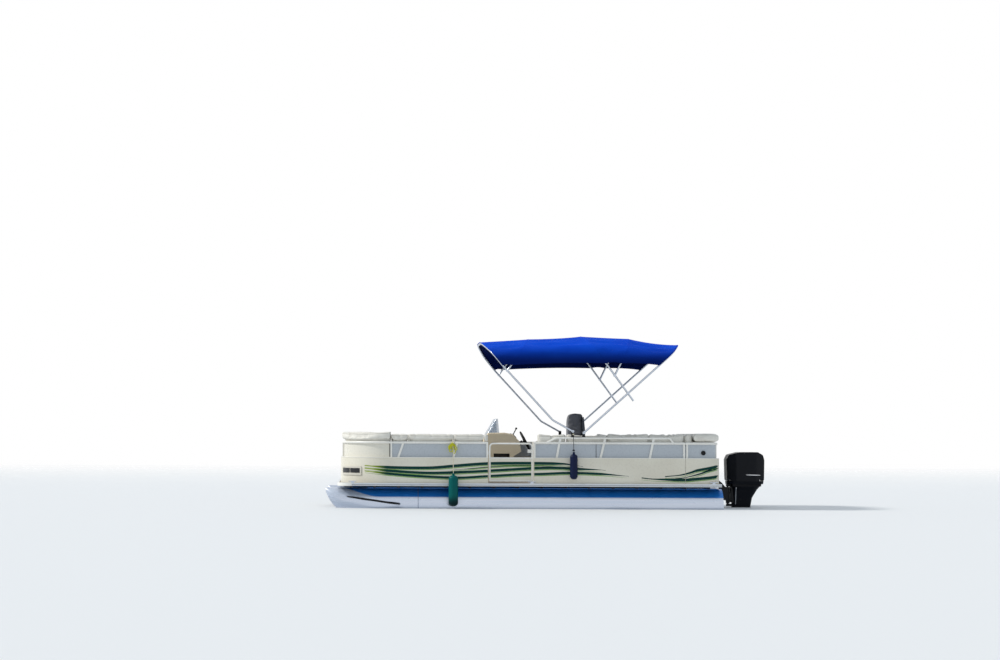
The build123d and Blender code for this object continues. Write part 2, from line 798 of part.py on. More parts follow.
# Captain's chair
spindle_radius = 14
bearing_z = chair_seat_z - 62
chair_axis = Pos(chair_x, chair_y, 0)
pedestal = chair_axis * Pos(0, 0, deck_top) * extrude(Circle(150), amount=14)
pedestal += chair_axis * Pos(0, 0, deck_top) * extrude(Circle(45), amount=bearing_z - deck_top)
pedestal += chair_axis * Pos(0, 0, bearing_z) * extrude(Circle(spindle_radius), amount=30)
parts["chair_pedestal"] = pedestal
bush = Circle(60) - Circle(spindle_radius + running_gap)
chair_plate = chair_axis * Pos(0, 0, bearing_z + 1) * extrude(bush, amount=40)
plate_half = 200
plate_x = (chair_x - plate_half, chair_x + plate_half)
plate_y = (chair_y - plate_half, chair_y + plate_half)
chair_plate += block(plate_x, plate_y, (bearing_z + 36, chair_seat_z - 14))
shell_half = 275
shell_x = (chair_x - 235, chair_x + 250)
shell_y = (chair_y - shell_half, chair_y + shell_half)
chair_shell = block(shell_x, shell_y, (chair_seat_z - 14, chair_seat_z + 30))
chair_back_rise = 775
chair_back_top = chair_seat_z + chair_back_rise
back_outline = [
    (chair_x - 200, chair_seat_z + 10),
    (chair_x - 345, chair_back_top - 280),
    (chair_x - 335, chair_back_top),
    (chair_x - 366, chair_back_top),
    (chair_x - 392, chair_back_top - 280),
    (chair_x - 262, chair_seat_z + 10),
]
chair_shell += side_prism(back_outline, chair_y - 235, chair_y + 235)
arm_top = chair_seat_z + 240
arm_half = 22
arm_outline = [
    (chair_x - 250, chair_seat_z),
    (chair_x - 250, arm_top),
    (chair_x + 120, arm_top),
    (chair_x + 120, arm_top - 25),
    (chair_x - 190, arm_top - 50),
    (chair_x - 150, chair_seat_z),
]
for side in (1, -1):
    y = chair_y + side * (shell_half + arm_half - 4)
    chair_shell += side_prism(arm_outline, y - arm_half, y + arm_half)
parts["chair_shell"] = chair_plate + chair_shell
pad_z = (chair_seat_z + 30, chair_seat_z + 130)
seat_pad = cushion((chair_x - 180, chair_x + 262), (chair_y - 250, chair_y + 250), pad_z, 40)
pad_outline = [
    (chair_x - 245, chair_seat_z + 134),
    (chair_x - 86, chair_seat_z + 134),
    (chair_x - 92, chair_back_top - 70),
    (chair_x - 112, chair_back_top + 35),
    (chair_x - 150, chair_back_top + 55),
    (chair_x - 330, chair_back_top + 55),
    (chair_x - 356, chair_back_top + 5),
    (chair_x - 345, chair_back_top + 5),
    (chair_x - 355, chair_back_top - 280),
]
back_pad = side_prism(pad_outline, chair_y - 228, chair_y + 228) - parts["chair_shell"]
parts["chair_cushions"] = group([seat_pad, back_pad])


# Motor pod under the stern
pod_half = 260
transom_top = deck_top + 10
transom_thickness = 45
pod_outline = [
    (transom_x + 920, beam_bottom),
    (transom_x + 820, 190),
    (transom_x + 600, 90),
    (transom_x, 60),
    (transom_x, transom_top),
    (transom_x + transom_thickness, transom_top),
    (transom_x + transom_thickness, beam_bottom),
]
parts["motor_pod"] = side_prism(pod_outline, -pod_half, pod_half)

clamp_half = 128
clamp_wall = 18
clamp_reach = transom_thickness + 15
tilt_pin_radius = 12
clamp_outline = [
    (transom_x, 90),
    (transom_x, transom_top),
    (transom_x + clamp_reach, transom_top),
    (transom_x + clamp_reach, transom_top + 25),
    (transom_x - 30, transom_top + 32),
    (tilt_x - 26, tilt_z + 20),
    (tilt_x - 26, tilt_z - 25),
    (transom_x - 22, 250),
    (transom_x - 16, 90),
]
tilt_pin_half = clamp_half + 14
clamp_shape = rod((tilt_x, -tilt_pin_half, tilt_z), (tilt_x, tilt_pin_half, tilt_z), tilt_pin_radius)
clamp_shape += side_prism(clamp_outline, clamp_half - clamp_wall, clamp_half)
clamp_shape += side_prism(clamp_outline, -clamp_half, clamp_wall - clamp_half)
parts["clamp_bracket"] = clamp_shape

swivel_half = clamp_half - clamp_wall - 6
swivel_cheek = 26
tilt_bore = tilt_pin_radius + running_gap
swivel_radius = 34
swivel_bore = 17
swivel_z = (70, tilt_z - 50)
swivel_length = swivel_z[1] - swivel_z[0]
swivel_barrel = Pos(steer_x, 0, swivel_z[0]) * extrude(Circle(swivel_radius), amount=swivel_length)
web_top = swivel_z[1] - 5
arm_outline = [
    (steer_x, web_top),
    (steer_x, 120),
    (steer_x + 60, 120),
    (tilt_x + 4, tilt_z - 50),
    (tilt_x + 24, tilt_z - 8),
    (tilt_x + 14, tilt_z + 24),
    (tilt_x - 18, tilt_z + 26),
    (steer_x + 50, web_top),
]
web_outline = [(steer_x, web_top), (steer_x, 120), (steer_x + 50, 120), (steer_x + 50, web_top)]
swivel = swivel_barrel + side_prism(web_outline, -swivel_half, swivel_half)
swivel += side_prism(arm_outline, swivel_half - swivel_cheek, swivel_half)
swivel += side_prism(arm_outline, -swivel_half, swivel_cheek - swivel_half)
swivel -= Pos(steer_x, 0, 0) * extrude(Circle(swivel_bore + running_gap), amount=2 * tilt_z)
swivel -= rod((tilt_x, -200, tilt_z), (tilt_x, 200, tilt_z), tilt_bore)
parts["swivel_bracket"] = swivel

# Outboard motor: each outline gives x forward of the steering axis
cowl_low = tilt_z + 52
cowl_outline = [
    (32, cowl_low - 2),
    (43, cowl_low + 371),
    (0, cowl_low + 453),
    (-180, cowl_low + 496),
    (-490, cowl_low + 498),
    (-585, cowl_low + 448),
    (-617, cowl_low + 355),
    (-604, cowl_low - 2),
]
cowl_half = cowl_width / 2
cowl_plan = [
    (50, -150),
    (50, 150),
    (-120, cowl_half),
    (-450, cowl_half),
    (-620, 120),
    (-620, -120),
    (-450, -cowl_half),
    (-120, -cowl_half),
]
cowl_wall = 12
astern = Pos(steer_x, 0, 0)


def cowl_shape(shrink):
    """The cover's outer form, or its inside when shrunk."""
    profile = side_profile(cowl_outline, 45)
    profile = offset(profile, -shrink) if shrink else profile
    plan = make_face(FilletPolyline(*[(x, y, 0) for x, y in cowl_plan], radius=70, close=True))
    plan = offset(plan, -shrink) if shrink else plan
    side = Pos(0, -400, 0) * extrude(profile, amount=800, dir=(0, 1, 0))
    return side & extrude(plan, amount=1200, dir=(0, 0, 1))


def above(z):
    """Everything near the motor above a height."""
    return block((-700, 100), (-300, 300), (z, 1000))


cowl = cowl_shape(0) & above(cowl_low)
cowl -= cowl_shape(cowl_wall) & above(cowl_low - 5)
cowl -= block((-580, 10), (-180, 180), (cowl_low - 5, cowl_low + 30))
parts["motor_cowl"] = astern * cowl
parts["motor_powerhead"] = astern * block((-500, -40), (-130, 130), (cowl_low, cowl_low + 408))


def rounded_section(x_bow, x_stern, half, z, rounding):
    """A rounded rectangle lying at one height."""
    middle = (x_bow + x_stern) / 2
    return Plane.XY.offset(z) * Pos(middle, 0) * RectangleRounded(x_bow - x_stern, 2 * half, rounding)


# height, forward and after edge, half width
pan_sections = [
    (cowl_low, 30, -604, 205),
    (tilt_z, 26, -594, 192),
]
leg_sections = [
    (tilt_z - 38, -60, -550, 150),
    (tilt_z - 100, -62, -500, 112),
    (166, -62, -417, 78),
    (20, -62, -390, 52),
    (-210, -66, -370, 44),
]
leg = loft([rounded_section(a, b, half, z, 120) for z, a, b, half in pan_sections], ruled=True)
leg_faces = [rounded_section(a, b, half, z, min(half - 2, 120)) for z, a, b, half in leg_sections]
leg += loft(leg_faces, ruled=True)
leg += block((-550, -62), (-150, 150), (tilt_z - 38, tilt_z))
shaft_low = swivel_z[0] - 40
leg += Pos(0, 0, shaft_low) * extrude(Circle(swivel_bore), amount=tilt_z + 2 - shaft_low)
leg += block((-100, 26), (-40, 40), (20, 62))
leg += block((-100, 24), (-60, 60), (tilt_z - 42, tilt_z))
parts["motor_leg"] = astern * leg

gearcase_radius = 56
gear_profile = [
    (70, propeller_z),
    (40, propeller_z + 34),
    (-40, propeller_z + gearcase_radius),
    (-260, propeller_z + gearcase_radius),
    (-380, propeller_z + 46),
    (-380, propeller_z),
]
gear_face = make_face(Polyline(*[(x, 0, z) for x, z in gear_profile], close=True))
gearcase = revolve(gear_face, Axis((0, 0, propeller_z), (1, 0, 0)))
strut_sections = [
    (-210, -60, -372, 44),
    (-300, -30, -350, 30),
    (propeller_z, -20, -330, 30),
]
strut_faces = [rounded_section(a, b, half, z, half - 2) for z, a, b, half in strut_sections]
gearcase += loft(strut_faces, ruled=True)
wash_plate = [(-20, -60), (-20, 60), (-140, 105), (-480, 105), (-480, -105), (-140, -105)]
gearcase += plan_prism(wash_plate, -238, -228, 30)
skeg_outline = [
    (-70, propeller_z),
    (-160, propeller_z - 220),
    (-200, propeller_z - 252),
    (-300, propeller_z - 252),
    (-300, propeller_z),
]
gearcase += side_prism(skeg_outline, -7, 7)
propeller_shaft = 11
gearcase += rod((-370, 0, propeller_z), (-530, 0, propeller_z), propeller_shaft)
parts["motor_gearcase"] = astern * gearcase

hub_x = (-386, -500)
propeller = rod((hub_x[0], 0, propeller_z), (hub_x[1], 0, propeller_z), 46)
# radius of the section, its chord, its pitch in degrees
blade_sections = [(30, 96, 52), (110, 120, 36), (178, 70, 24)]
blade_faces = []
for radius, chord, pitch in blade_sections:
    plane = Plane(origin=(0, 0, radius), x_dir=(1, 0, 0), z_dir=(0, 0, 1)).rotated((0, 0, pitch))
    blade_faces.append(plane * RectangleRounded(chord, 9, 4))
blade = loft(blade_faces, ruled=True)
for index in range(3):
    propeller += Pos(sum(hub_x) / 2, 0, propeller_z) * Rot(120 * index, 0, 0) * blade
propeller -= rod((-300, 0, propeller_z), (-600, 0, propeller_z), propeller_shaft + running_gap)
parts["propeller"] = astern * propeller

# Bimini
bow_half_width = post_y + bow_stand_off
front_foot = (-717, raised_rail_z + 112)
aft_foot = (-900, raised_rail_z + 89)
# name: the leg's corners in (x, z), from the foot through any bend to the crown
bow_table = {
    "bimini_front_bow": [front_foot, (-383, 1475), (433, 2362), (782, 2786)],
    "bimini_aft_bow": [aft_foot, (-2559, 2754)],
    "bimini_aft_secondary_bow": [(-1640, 1930), (-936, 2893)],
    "bimini_middle_bow": [(-1425, 2224), (-1730, 2857)],
    "bimini_front_secondary_bow": [(375, 2299), (-14, 2843)],
}
bow_planes = {
    "bimini_front_bow": bow_half_width,
    "bimini_aft_bow": bow_half_width,
    "bimini_aft_secondary_bow": bow_half_width - bow_pitch_y,
    "bimini_middle_bow": bow_half_width - 2 * bow_pitch_y,
    "bimini_front_secondary_bow": bow_half_width - bow_pitch_y,
}
shoulder_radius = 230
crown_radius = 1500
crown_half = 620
shoulder_drop = 245
pin_radius = 6
eye_radius = bow_tube_radius + 6
tail_length = 157
eye_half = bow_tube_radius + 1.5


def bow_frame_points(name, half):
    """One leg's corners and the shoulder below the crown, port side."""
    leg = [Vector(x, half, z) for x, z in bow_table[name]]
    crown = leg.pop()
    down = (leg[-1] - crown).normalized()
    return leg, crown + down * shoulder_drop, Vector(crown.X, crown_half, crown.Z)


def bow(name):
    """A bent tube: up the port leg, over the crown and down to starboard, with an eye at each foot."""
    half = bow_planes[name]
    leg, shoulder, crown = bow_frame_points(name, half)
    port = leg + [shoulder, crown]
    points = port + [Vector(p.X, -p.Y, p.Z) for p in reversed(port)]
    radii = [150] * (len(leg) - 1) + [shoulder_radius, crown_radius]
    made = tube(points, bow_tube_radius, radii + list(reversed(radii)))
    x, z = bow_table[name][0]
    for side in (1, -1):
        y = side * half
        made += rod((x, y - eye_half, z), (x, y + eye_half, z), eye_radius)
        made -= rod((x, y - 40, z), (x, y + 40, z), pin_radius + running_gap)
    return made


def bow_tails(name):
    """The free ends of a bow that runs on past its pins."""
    half = bow_planes[name]
    foot, crown = [Vector(x, half, z) for x, z in bow_table[name]]
    down = (foot - crown).normalized()
    tail = rod(tuple(foot + down * (eye_radius - 4)), tuple(foot + down * tail_length), bow_tube_radius)
    return both_sides(tail)


bows = {name: bow(name) for name in bow_table}
bows["bimini_aft_secondary_bow"] += bow_tails("bimini_aft_secondary_bow")
# parent, foot of the bow it carries
carried = [
    ("bimini_aft_bow", "bimini_aft_secondary_bow"),
    ("bimini_aft_secondary_bow", "bimini_middle_bow"),
    ("bimini_front_bow", "bimini_front_secondary_bow"),
]
for parent, child in carried:
    x, z = bow_table[child][0]
    for side in (1, -1):
        outer_y = side * (bow_planes[parent] + 2)
        inner_y = side * (bow_planes[child] - bow_tube_radius - 4)
        pin = rod((x, outer_y, z), (x, inner_y, z), pin_radius)
        collar_y = side * (bow_planes[parent] - bow_tube_radius - 3)
        pin += rod((x, side * (bow_planes[parent] + bow_tube_radius + 4), z), (x, collar_y, z), 22)
        bows[parent] += pin
parts.update(bows)

mount_half = 24
mount_inner = post_y - 12
mount_outer = bow_half_width - bow_tube_radius - 2
mount = block(
    (aft_foot[0] - mount_half - 6, front_foot[0] + mount_half + 6),
    (mount_inner, mount_outer),
    (raised_rail_z + 8, raised_rail_z + 26),
)
for x, z in (front_foot, aft_foot):
    cheek_x = (x - mount_half, x + mount_half)
    mount += block(cheek_x, (mount_inner, mount_outer), (raised_rail_z + 4, z + 14))
    mount += rod((x, post_y - 8, z), (x, bow_half_width + bow_tube_radius + 5, z), pin_radius)
mount -= parts["port_side_frame"]
parts["bimini_mounts"] = both_sides(mount)

canopy_gap = 1.25
canopy_thickness = 4
# height of the hem at each bow
canopy_hems = {
    "bimini_front_bow": 2385,
    "bimini_front_secondary_bow": 2395,
    "bimini_aft_secondary_bow": 2430,
    "bimini_middle_bow": 2430,
    "bimini_aft_bow": 2400,
}


def canopy_line(name, lift):
    """The widest bow's form in one bow's own plane, lifted clear of the tube."""
    half = bow_half_width + lift
    leg, shoulder, crown = bow_frame_points(name, half)
    rise = (shoulder - leg[-1]).normalized()
    hem = shoulder - rise * ((shoulder.Z - canopy_hems[name]) / rise.Z)
    up = rise * (lift / rise.Z)
    port = [hem, shoulder + up, crown + up]
    points = port + [Vector(p.X, -p.Y, p.Z) for p in reversed(port)]
    radii = [shoulder_radius + lift, crown_radius]
    return FilletPolyline(*[tuple(p) for p in points], radius=radii + radii[::-1])


def canopy_section(name):
    inner = canopy_line(name, bow_tube_radius + canopy_gap)
    outer = canopy_line(name, bow_tube_radius + canopy_gap + canopy_thickness)
    ends = [Line(outer @ 0, inner @ 0), Line(outer @ 1, inner @ 1)]
    return make_face(outer.edges() + inner.edges() + ends)


parts["canopy"] = loft([canopy_section(name) for name in canopy_hems], ruled=True)

# Fenders
fender_gap = 6
green_radius = 79
navy_radius = 64
navy_fender_x = -725
green_fender_y = beam / 2 + green_radius + fender_gap
navy_fender_y = fence_half_width + navy_radius + 11
# name: x, y of the middle, z of the top, radius, length, z of the hitch
fender_table = {
    "green": (1277, green_fender_y, 595, green_radius, 553, rail_z),
    "navy": (navy_fender_x, navy_fender_y, 953, navy_radius, 460, raised_rail_z + 62),
}
line_radius = 5
neck_length = 40
hitch_y = post_y + rail_tube_radius + 24
hitches = []
for name, (x, y, top, radius, length, hitch_z) in fender_table.items():
    body = Pos(x, y, top - length) * extrude(Circle(radius), amount=length - neck_length)
    body = fillet(body.edges(), radius * 0.86)
    neck = Pos(x, y, top - neck_length - 8) * extrude(Circle(20), amount=neck_length)
    fender = body + neck
    parts[name + "_fender"] = fender
    hitch = rod((x, post_y, hitch_z), (x, hitch_y, hitch_z), 13)
    hitch = hitch - parts["port_bow_frame"] - parts["port_side_frame"] - parts["bimini_mounts"]
    hitches.append(hitch)
    line = rod((x, hitch_y - 6, hitch_z), (x, y, top - 12), line_radius)
    parts[name + "_fender_line"] = line - hitch - fender
parts["fender_hitches"] = group(hitches)

os.makedirs("parts", exist_ok=True)
for name, shape in parts.items():
    shape.label = name
    export_step(shape, f"parts/{name}.step")
    box = shape.bounding_box()
    low = f"{box.min.X:.0f} {box.min.Y:.0f} {box.min.Z:.0f}"
    high = f"{box.max.X:.0f} {box.max.Y:.0f} {box.max.Z:.0f}"
    print(name, len(shape.solids()), "solids from", low, "to", high, f"{shape.volume / 1e6:.2f} litres")
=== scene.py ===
"""A pontoon boat afloat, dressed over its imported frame. Metres, +X to the bow, +Y to port, +Z up."""

import json
import math

import bmesh
import bpy
import numpy as np
from mathutils import Matrix, Quaternion, Vector
from mathutils.bvhtree import BVHTree

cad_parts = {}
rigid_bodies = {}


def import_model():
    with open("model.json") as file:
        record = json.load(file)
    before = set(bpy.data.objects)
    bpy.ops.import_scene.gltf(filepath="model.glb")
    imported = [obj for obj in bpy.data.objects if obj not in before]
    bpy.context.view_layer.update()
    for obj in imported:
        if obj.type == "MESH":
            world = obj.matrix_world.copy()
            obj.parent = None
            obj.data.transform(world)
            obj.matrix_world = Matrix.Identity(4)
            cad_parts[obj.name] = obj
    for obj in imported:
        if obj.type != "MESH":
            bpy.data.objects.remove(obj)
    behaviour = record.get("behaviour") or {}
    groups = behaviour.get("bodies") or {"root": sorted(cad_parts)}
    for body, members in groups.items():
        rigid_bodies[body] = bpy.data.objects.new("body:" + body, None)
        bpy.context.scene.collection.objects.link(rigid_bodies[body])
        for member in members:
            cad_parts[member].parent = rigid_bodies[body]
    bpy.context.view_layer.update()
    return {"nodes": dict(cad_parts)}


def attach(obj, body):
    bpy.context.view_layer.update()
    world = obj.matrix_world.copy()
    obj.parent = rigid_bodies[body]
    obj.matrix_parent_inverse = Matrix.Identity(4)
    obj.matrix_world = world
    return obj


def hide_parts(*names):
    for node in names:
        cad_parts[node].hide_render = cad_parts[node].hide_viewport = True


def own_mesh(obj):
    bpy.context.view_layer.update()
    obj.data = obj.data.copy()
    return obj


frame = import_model()

# Sizes that the frame's pieces share
fence_half_width = 1.255
fence_bow_x = 3.155
fence_bow_radius = 0.80
fence_stern_x = -3.170
fence_stern_radius = 0.15
deck_top = 0.420
rub_rail_top = 0.422
bow_half_width = 1.240
bow_tube_radius = 0.016
crown_half = 0.62
shoulder_radius = 0.23
crown_radius = 1.5
shoulder_drop = 0.245
deck_bow_x = 3.2
deck_half_width = 1.295
deck_corner_radius = 0.22
gate_skin_y = 1.221
nose_weld_x = 1.855


# Node trees
class Value:
    """A socket that Python's operators work on: each adds its Math node."""

    def __init__(self, tree, socket):
        self.tree = tree
        self.socket = socket

    def maths(self, operation, *others):
        """A Math node with this value as its first input."""
        node = self.tree.nodes.new("ShaderNodeMath")
        node.operation = operation
        for place, value in enumerate((self, *others)):
            plug(self.tree, node.inputs[place], value)
        return Value(self.tree, node.outputs[0])

    def __add__(self, other):
        return self.maths("ADD", other)

    def __mul__(self, other):
        return self.maths("MULTIPLY", other)

    def __sub__(self, other):
        return self.maths("SUBTRACT", other)

    def __abs__(self):
        return self.maths("ABSOLUTE")

    def __gt__(self, other):
        return self.maths("GREATER_THAN", other)

    def __lt__(self, other):
        return self.maths("LESS_THAN", other)

    def largest(self, other):
        return self.maths("MAXIMUM", other)


def plug(tree, inlet, value):
    """Link a Value, or write a number or a colour on the socket."""
    if isinstance(value, Value):
        tree.links.new(value.socket, inlet)
    else:
        inlet.default_value = value


def linear(colour):
    """A colour as the eye reads it, 0 to 255, turned to the shader's scale, with full alpha."""
    part = np.asarray(colour) / 255
    return (*np.where(part <= 0.04045, part / 12.92, ((part + 0.055) / 1.055) ** 2.4).tolist(), 1.0)


class Finish:
    """A material: a Principled shader, and one method for every other node."""

    def __init__(self, name, colour, roughness=0.5, metallic=0.0, gloss=0.5, grain=None, uneven=None):
        """Grain is noise as relief, (scale, detail, strength, depth); uneven is roughness that
        drifts with a noise, (scale, detail, low, high)."""
        self.material = bpy.data.materials.new(name)
        self.material.use_nodes = True
        self.tree = self.material.node_tree
        self.shader = self.tree.nodes["Principled BSDF"]
        self.set("Base Color", linear(colour))
        self.set("Roughness", roughness)
        self.set("Metallic", metallic)
        self.set("Specular IOR Level", gloss)
        if grain:
            self.bump(self.noise(*grain[:2]), *grain[2:])
        if uneven:
            self.set("Roughness", self.ease(self.noise(*uneven[:2]), 0.3, 0.7, *uneven[2:]))

    def set(self, socket, value):
        """Give one of the shader's own inputs a value."""
        plug(self.tree, self.shader.inputs[socket], value)

    def node(self, kind, settings=None, output=0, **inputs):
        """Any node, with its settings and its inputs by name."""
        made = self.tree.nodes.new("ShaderNode" + kind)
        for name, value in (settings or {}).items():
            setattr(made, name, value)
        for name, value in inputs.items():
            plug(self.tree, made.inputs[name.replace("_", " ")], value)
        return Value(self.tree, made.outputs[output])

    def place(self, stretch=(1, 1, 1)):
        """Object coordinates, stretched."""
        return self.node("Mapping", Vector=self.node("TexCoord", output="Object"), Scale=stretch)

    def axes(self):
        """The three Object coordinates as numbers."""
        split = self.tree.nodes.new("ShaderNodeSeparateXYZ")
        plug(self.tree, split.inputs[0], self.node("TexCoord", output="Object"))
        return [Value(self.tree, socket) for socket in split.outputs]

    def noise(self, scale, detail=3.0, roughness=0.5, stretch=(1, 1, 1)):
        """Cloudy noise, 0 to 1."""
        where = self.place(stretch)
        return self.node("TexNoise", Vector=where, Scale=scale, Detail=detail, Roughness=roughness)

    def wave(self, along, scale, distortion=0.0):
        """Bands across one axis."""
        kind = {"bands_direction": along}
        return self.node("TexWave", kind, Vector=self.place(), Scale=scale, Distortion=distortion)

    def mix(self, amount, one, two):
        """A colour between two colours."""
        made = self.tree.nodes.new("ShaderNodeMix")
        made.data_type = "RGBA"
        for inlet, value in zip((made.inputs[0], made.inputs[6], made.inputs[7]), (amount, one, two)):
            plug(self.tree, inlet, linear(value) if isinstance(value, tuple) else value)
        return Value(self.tree, made.outputs[2])

    def ease(self, value, low, high, start=0.0, end=1.0):
        """A smooth step from start to end as the value goes from low to high."""
        made = self.tree.nodes.new("ShaderNodeMapRange")
        made.interpolation_type = "SMOOTHSTEP"
        for inlet, number in zip(made.inputs[:5], (value, low, high, start, end)):
            plug(self.tree, inlet, number)
        return Value(self.tree, made.outputs[0])

    def bump(self, height, strength=0.3, distance=0.001):
        """Relief from a height."""
        self.set("Normal", self.node("Bump", Height=height, Strength=strength, Distance=distance))


def dress(finish, *names):
    """Give CAD nodes a finish."""
    for name in names:
        materials = frame["nodes"][name].data.materials
        materials.clear()
        materials.append(finish.material)


def named(*ends):
    """The CAD nodes whose names end so."""
    return [name for name in frame["nodes"] if name.endswith(ends)]


def in_scene(name, data):
    """A new object that shows the data."""
    made = bpy.data.objects.new(name, data)
    bpy.context.scene.collection.objects.link(made)
    return made


# Meshes from numpy
def mesh_piece(name, points, faces, finish, smooth=True):
    """A new object from an array of points and an array or list of faces."""
    mesh = bpy.data.meshes.new(name)
    points = np.asarray(points, float).reshape(-1, 3)
    mesh.from_pydata(points.tolist(), [], [list(map(int, f)) for f in faces])
    mesh.validate()
    if smooth:
        mesh.shade_smooth()
    else:
        mesh.shade_flat()
    mesh.materials.append(finish.material)
    return in_scene(name, mesh)


def grid_faces(rows, columns, wrap_rows=False, wrap_columns=False):
    """Quads over a grid of points, closed round either way where asked."""
    r = np.arange(rows if wrap_rows else rows - 1)
    c = np.arange(columns if wrap_columns else columns - 1)
    i, j = np.meshgrid(r, c, indexing="ij")
    i2, j2 = (i + 1) % rows, (j + 1) % columns
    corners = [i * columns + j, i * columns + j2, i2 * columns + j2, i2 * columns + j]
    return np.stack([c.ravel() for c in corners], axis=1)


def grid_piece(name, points, finish, wrap_rows=False, wrap_columns=False, smooth=True):
    """A surface from a grid of points, shaped (rows, columns, 3)."""
    rows, columns = points.shape[:2]
    return mesh_piece(name, points, grid_faces(rows, columns, wrap_rows, wrap_columns), finish, smooth)


def outward(piece, ends_open=False):
    """Turn every face of a piece outward, once its open ends are closed."""
    shape = bmesh.new()
    shape.from_mesh(piece.data)
    if ends_open:
        bmesh.ops.holes_fill(shape, edges=[e for e in shape.edges if e.is_boundary])
    bmesh.ops.remove_doubles(shape, verts=shape.verts, dist=1e-6)
    bmesh.ops.recalc_face_normals(shape, faces=shape.faces)
    shape.to_mesh(piece.data)
    shape.free()
    return piece


def rounded_block(name, x, y, z, radius, finish):
    """A box between two limits on each axis, with every edge rounded."""
    shape = bmesh.new()
    bmesh.ops.create_cube(shape, size=1.0)
    for vertex in shape.verts:
        for axis, (low, high) in enumerate((x, y, z)):
            vertex.co[axis] = high if vertex.co[axis] > 0 else low
    bmesh.ops.bevel(shape, geom=shape.edges[:], offset=radius, segments=5, profile=0.5, affect="EDGES")
    mesh = bpy.data.meshes.new(name)
    shape.to_mesh(mesh)
    shape.free()
    mesh.shade_smooth()
    mesh.materials.append(finish.material)
    return outward(in_scene(name, mesh))


def joined(name, pieces):
    """Several pieces made one, each keeping its own material."""
    for piece in bpy.context.scene.objects:
        piece.select_set(False)
    for piece in pieces:
        piece.select_set(True)
    bpy.context.view_layer.objects.active = pieces[0]
    bpy.ops.object.join()
    pieces[0].name = name
    return pieces[0]


def smooth_path(points, count):
    """Catmull-Rom curve through the points: cubic spans whose slope at each is half the step past it."""
    p = np.asarray(points, float)
    p = np.vstack([2 * p[0] - p[1], p, 2 * p[-1] - p[-2]])
    t = np.linspace(0, len(p) - 3 - 1e-9, count)
    i = t.astype(int)
    f = (t - i)[:, None]
    a, b, c, d = p[i], p[i + 1], p[i + 2], p[i + 3]
    return 0.5 * (2 * b + (c - a) * f + (2 * a - 5 * b + 4 * c - d) * f**2 + (3 * b - a - 3 * c + d) * f**3)


def path_frames(path):
    """At each point of a path: its heading, and two directions across it that turn as little as they can."""
    heading = np.gradient(path, axis=0)
    heading /= np.linalg.norm(heading, axis=1)[:, None]
    side = np.zeros_like(heading)
    first = np.cross(heading[0], [0, 0, 1.0])
    if np.linalg.norm(first) < 0.1:
        first = np.cross(heading[0], [0, 1.0, 0])
    side[0] = first / np.linalg.norm(first)
    for k in range(1, len(path)):
        s = side[k - 1] - heading[k] * np.dot(side[k - 1], heading[k])
        side[k] = s / np.linalg.norm(s)
    return heading, side, np.cross(heading, side)


def round_angles(count):
    """Even angles once round a circle."""
    return np.linspace(0, 2 * math.pi, count, endpoint=False)


def round_tube(name, path, radius, finish, sides=12, closed=False):
    """A circle of the radius (a number or one for each point) carried along a path."""
    path = np.asarray(path, float)
    heading, side, up = path_frames(path)
    angle = round_angles(sides)
    reach = np.broadcast_to(np.asarray(radius, float), len(path))[:, None, None]
    ring = np.cos(angle)[None, :, None] * side[:, None] + np.sin(angle)[None, :, None] * up[:, None]
    points = path[:, None] + reach * ring
    made = grid_piece(name, points, finish, wrap_rows=closed, wrap_columns=True)
    return outward(made, ends_open=not closed)


def lathe(name, profile, finish, sides=40):
    """A profile of (radius, z) turned about the z axis: x = r cos a, y = r sin a."""
    profile = np.asarray(profile, float)
    angle = round_angles(sides)
    x = profile[:, :1] * np.cos(angle)
    y = profile[:, :1] * np.sin(angle)
    z = profile[:, 1:] + 0 * angle
    return outward(grid_piece(name, np.stack([x, y, z], axis=2), finish, wrap_columns=True))


def filleted(corners, radii, count):
    """Points at even steps along straight runs joined by arcs of the given radii."""
    corners = np.asarray(corners, float)
    pieces = [corners[:1]]
    for before, here, after, radius in zip(corners, corners[1:], corners[2:], radii):
        into = (before - here) / np.linalg.norm(before - here)
        out = (after - here) / np.linalg.norm(after - here)
        half = math.acos(np.clip(np.dot(into, out), -1, 1)) / 2
        middle = here + (into + out) / np.linalg.norm(into + out) * radius / math.sin(half)
        reach = radius / math.tan(half)
        first = here + into * reach - middle
        last = here + out * reach - middle
        sweep = math.pi - 2 * half
        t = np.linspace(0, 1, 33)[:, None]
        arc = (np.sin((1 - t) * sweep) * first + np.sin(t * sweep) * last) / math.sin(sweep)
        pieces.append(middle + arc)
    pieces.append(corners[-1:])
    line = np.vstack(pieces)
    along = np.concatenate([[0], np.cumsum(np.linalg.norm(np.diff(line, axis=0), axis=1))])
    steps = np.linspace(0, along[-1], count)
    return np.stack([np.interp(steps, along, line[:, k]) for k in range(3)], axis=1)


# Finishes
hull_metal = Finish("pontoon_aluminium", (206, 211, 220), roughness=0.26, metallic=1.0)
streaks = hull_metal.noise(5.0, stretch=(0.12, 1, 3))
along, _, height = hull_metal.axes()
# painted reflection: the blue band under the deck is the deck's shaded underside reflected in the tube,
# painted into the colour; it narrows to nothing towards the nose
reflection_band_edge = hull_metal.ease(along, 2.5, 3.25, 0.19, 0.35)
band = hull_metal.ease(height - reflection_band_edge, -0.010, 0.010)
# below the band the tube is tinted blue-grey in streaks: the streaks are the metal's own, the blue tint is a
# painted reflection of the water
below = hull_metal.mix(streaks, (168, 180, 200), (200, 207, 219))
with_reflection_band = hull_metal.mix(band, below, (26, 116, 200))
# the weld where the nose cone meets the tube
weld = hull_metal.ease(abs(along - nose_weld_x), 0.006, 0.014, 0.5, 0.0)
hull_metal.set("Base Color", hull_metal.mix(weld, with_reflection_band, (96, 108, 134)))
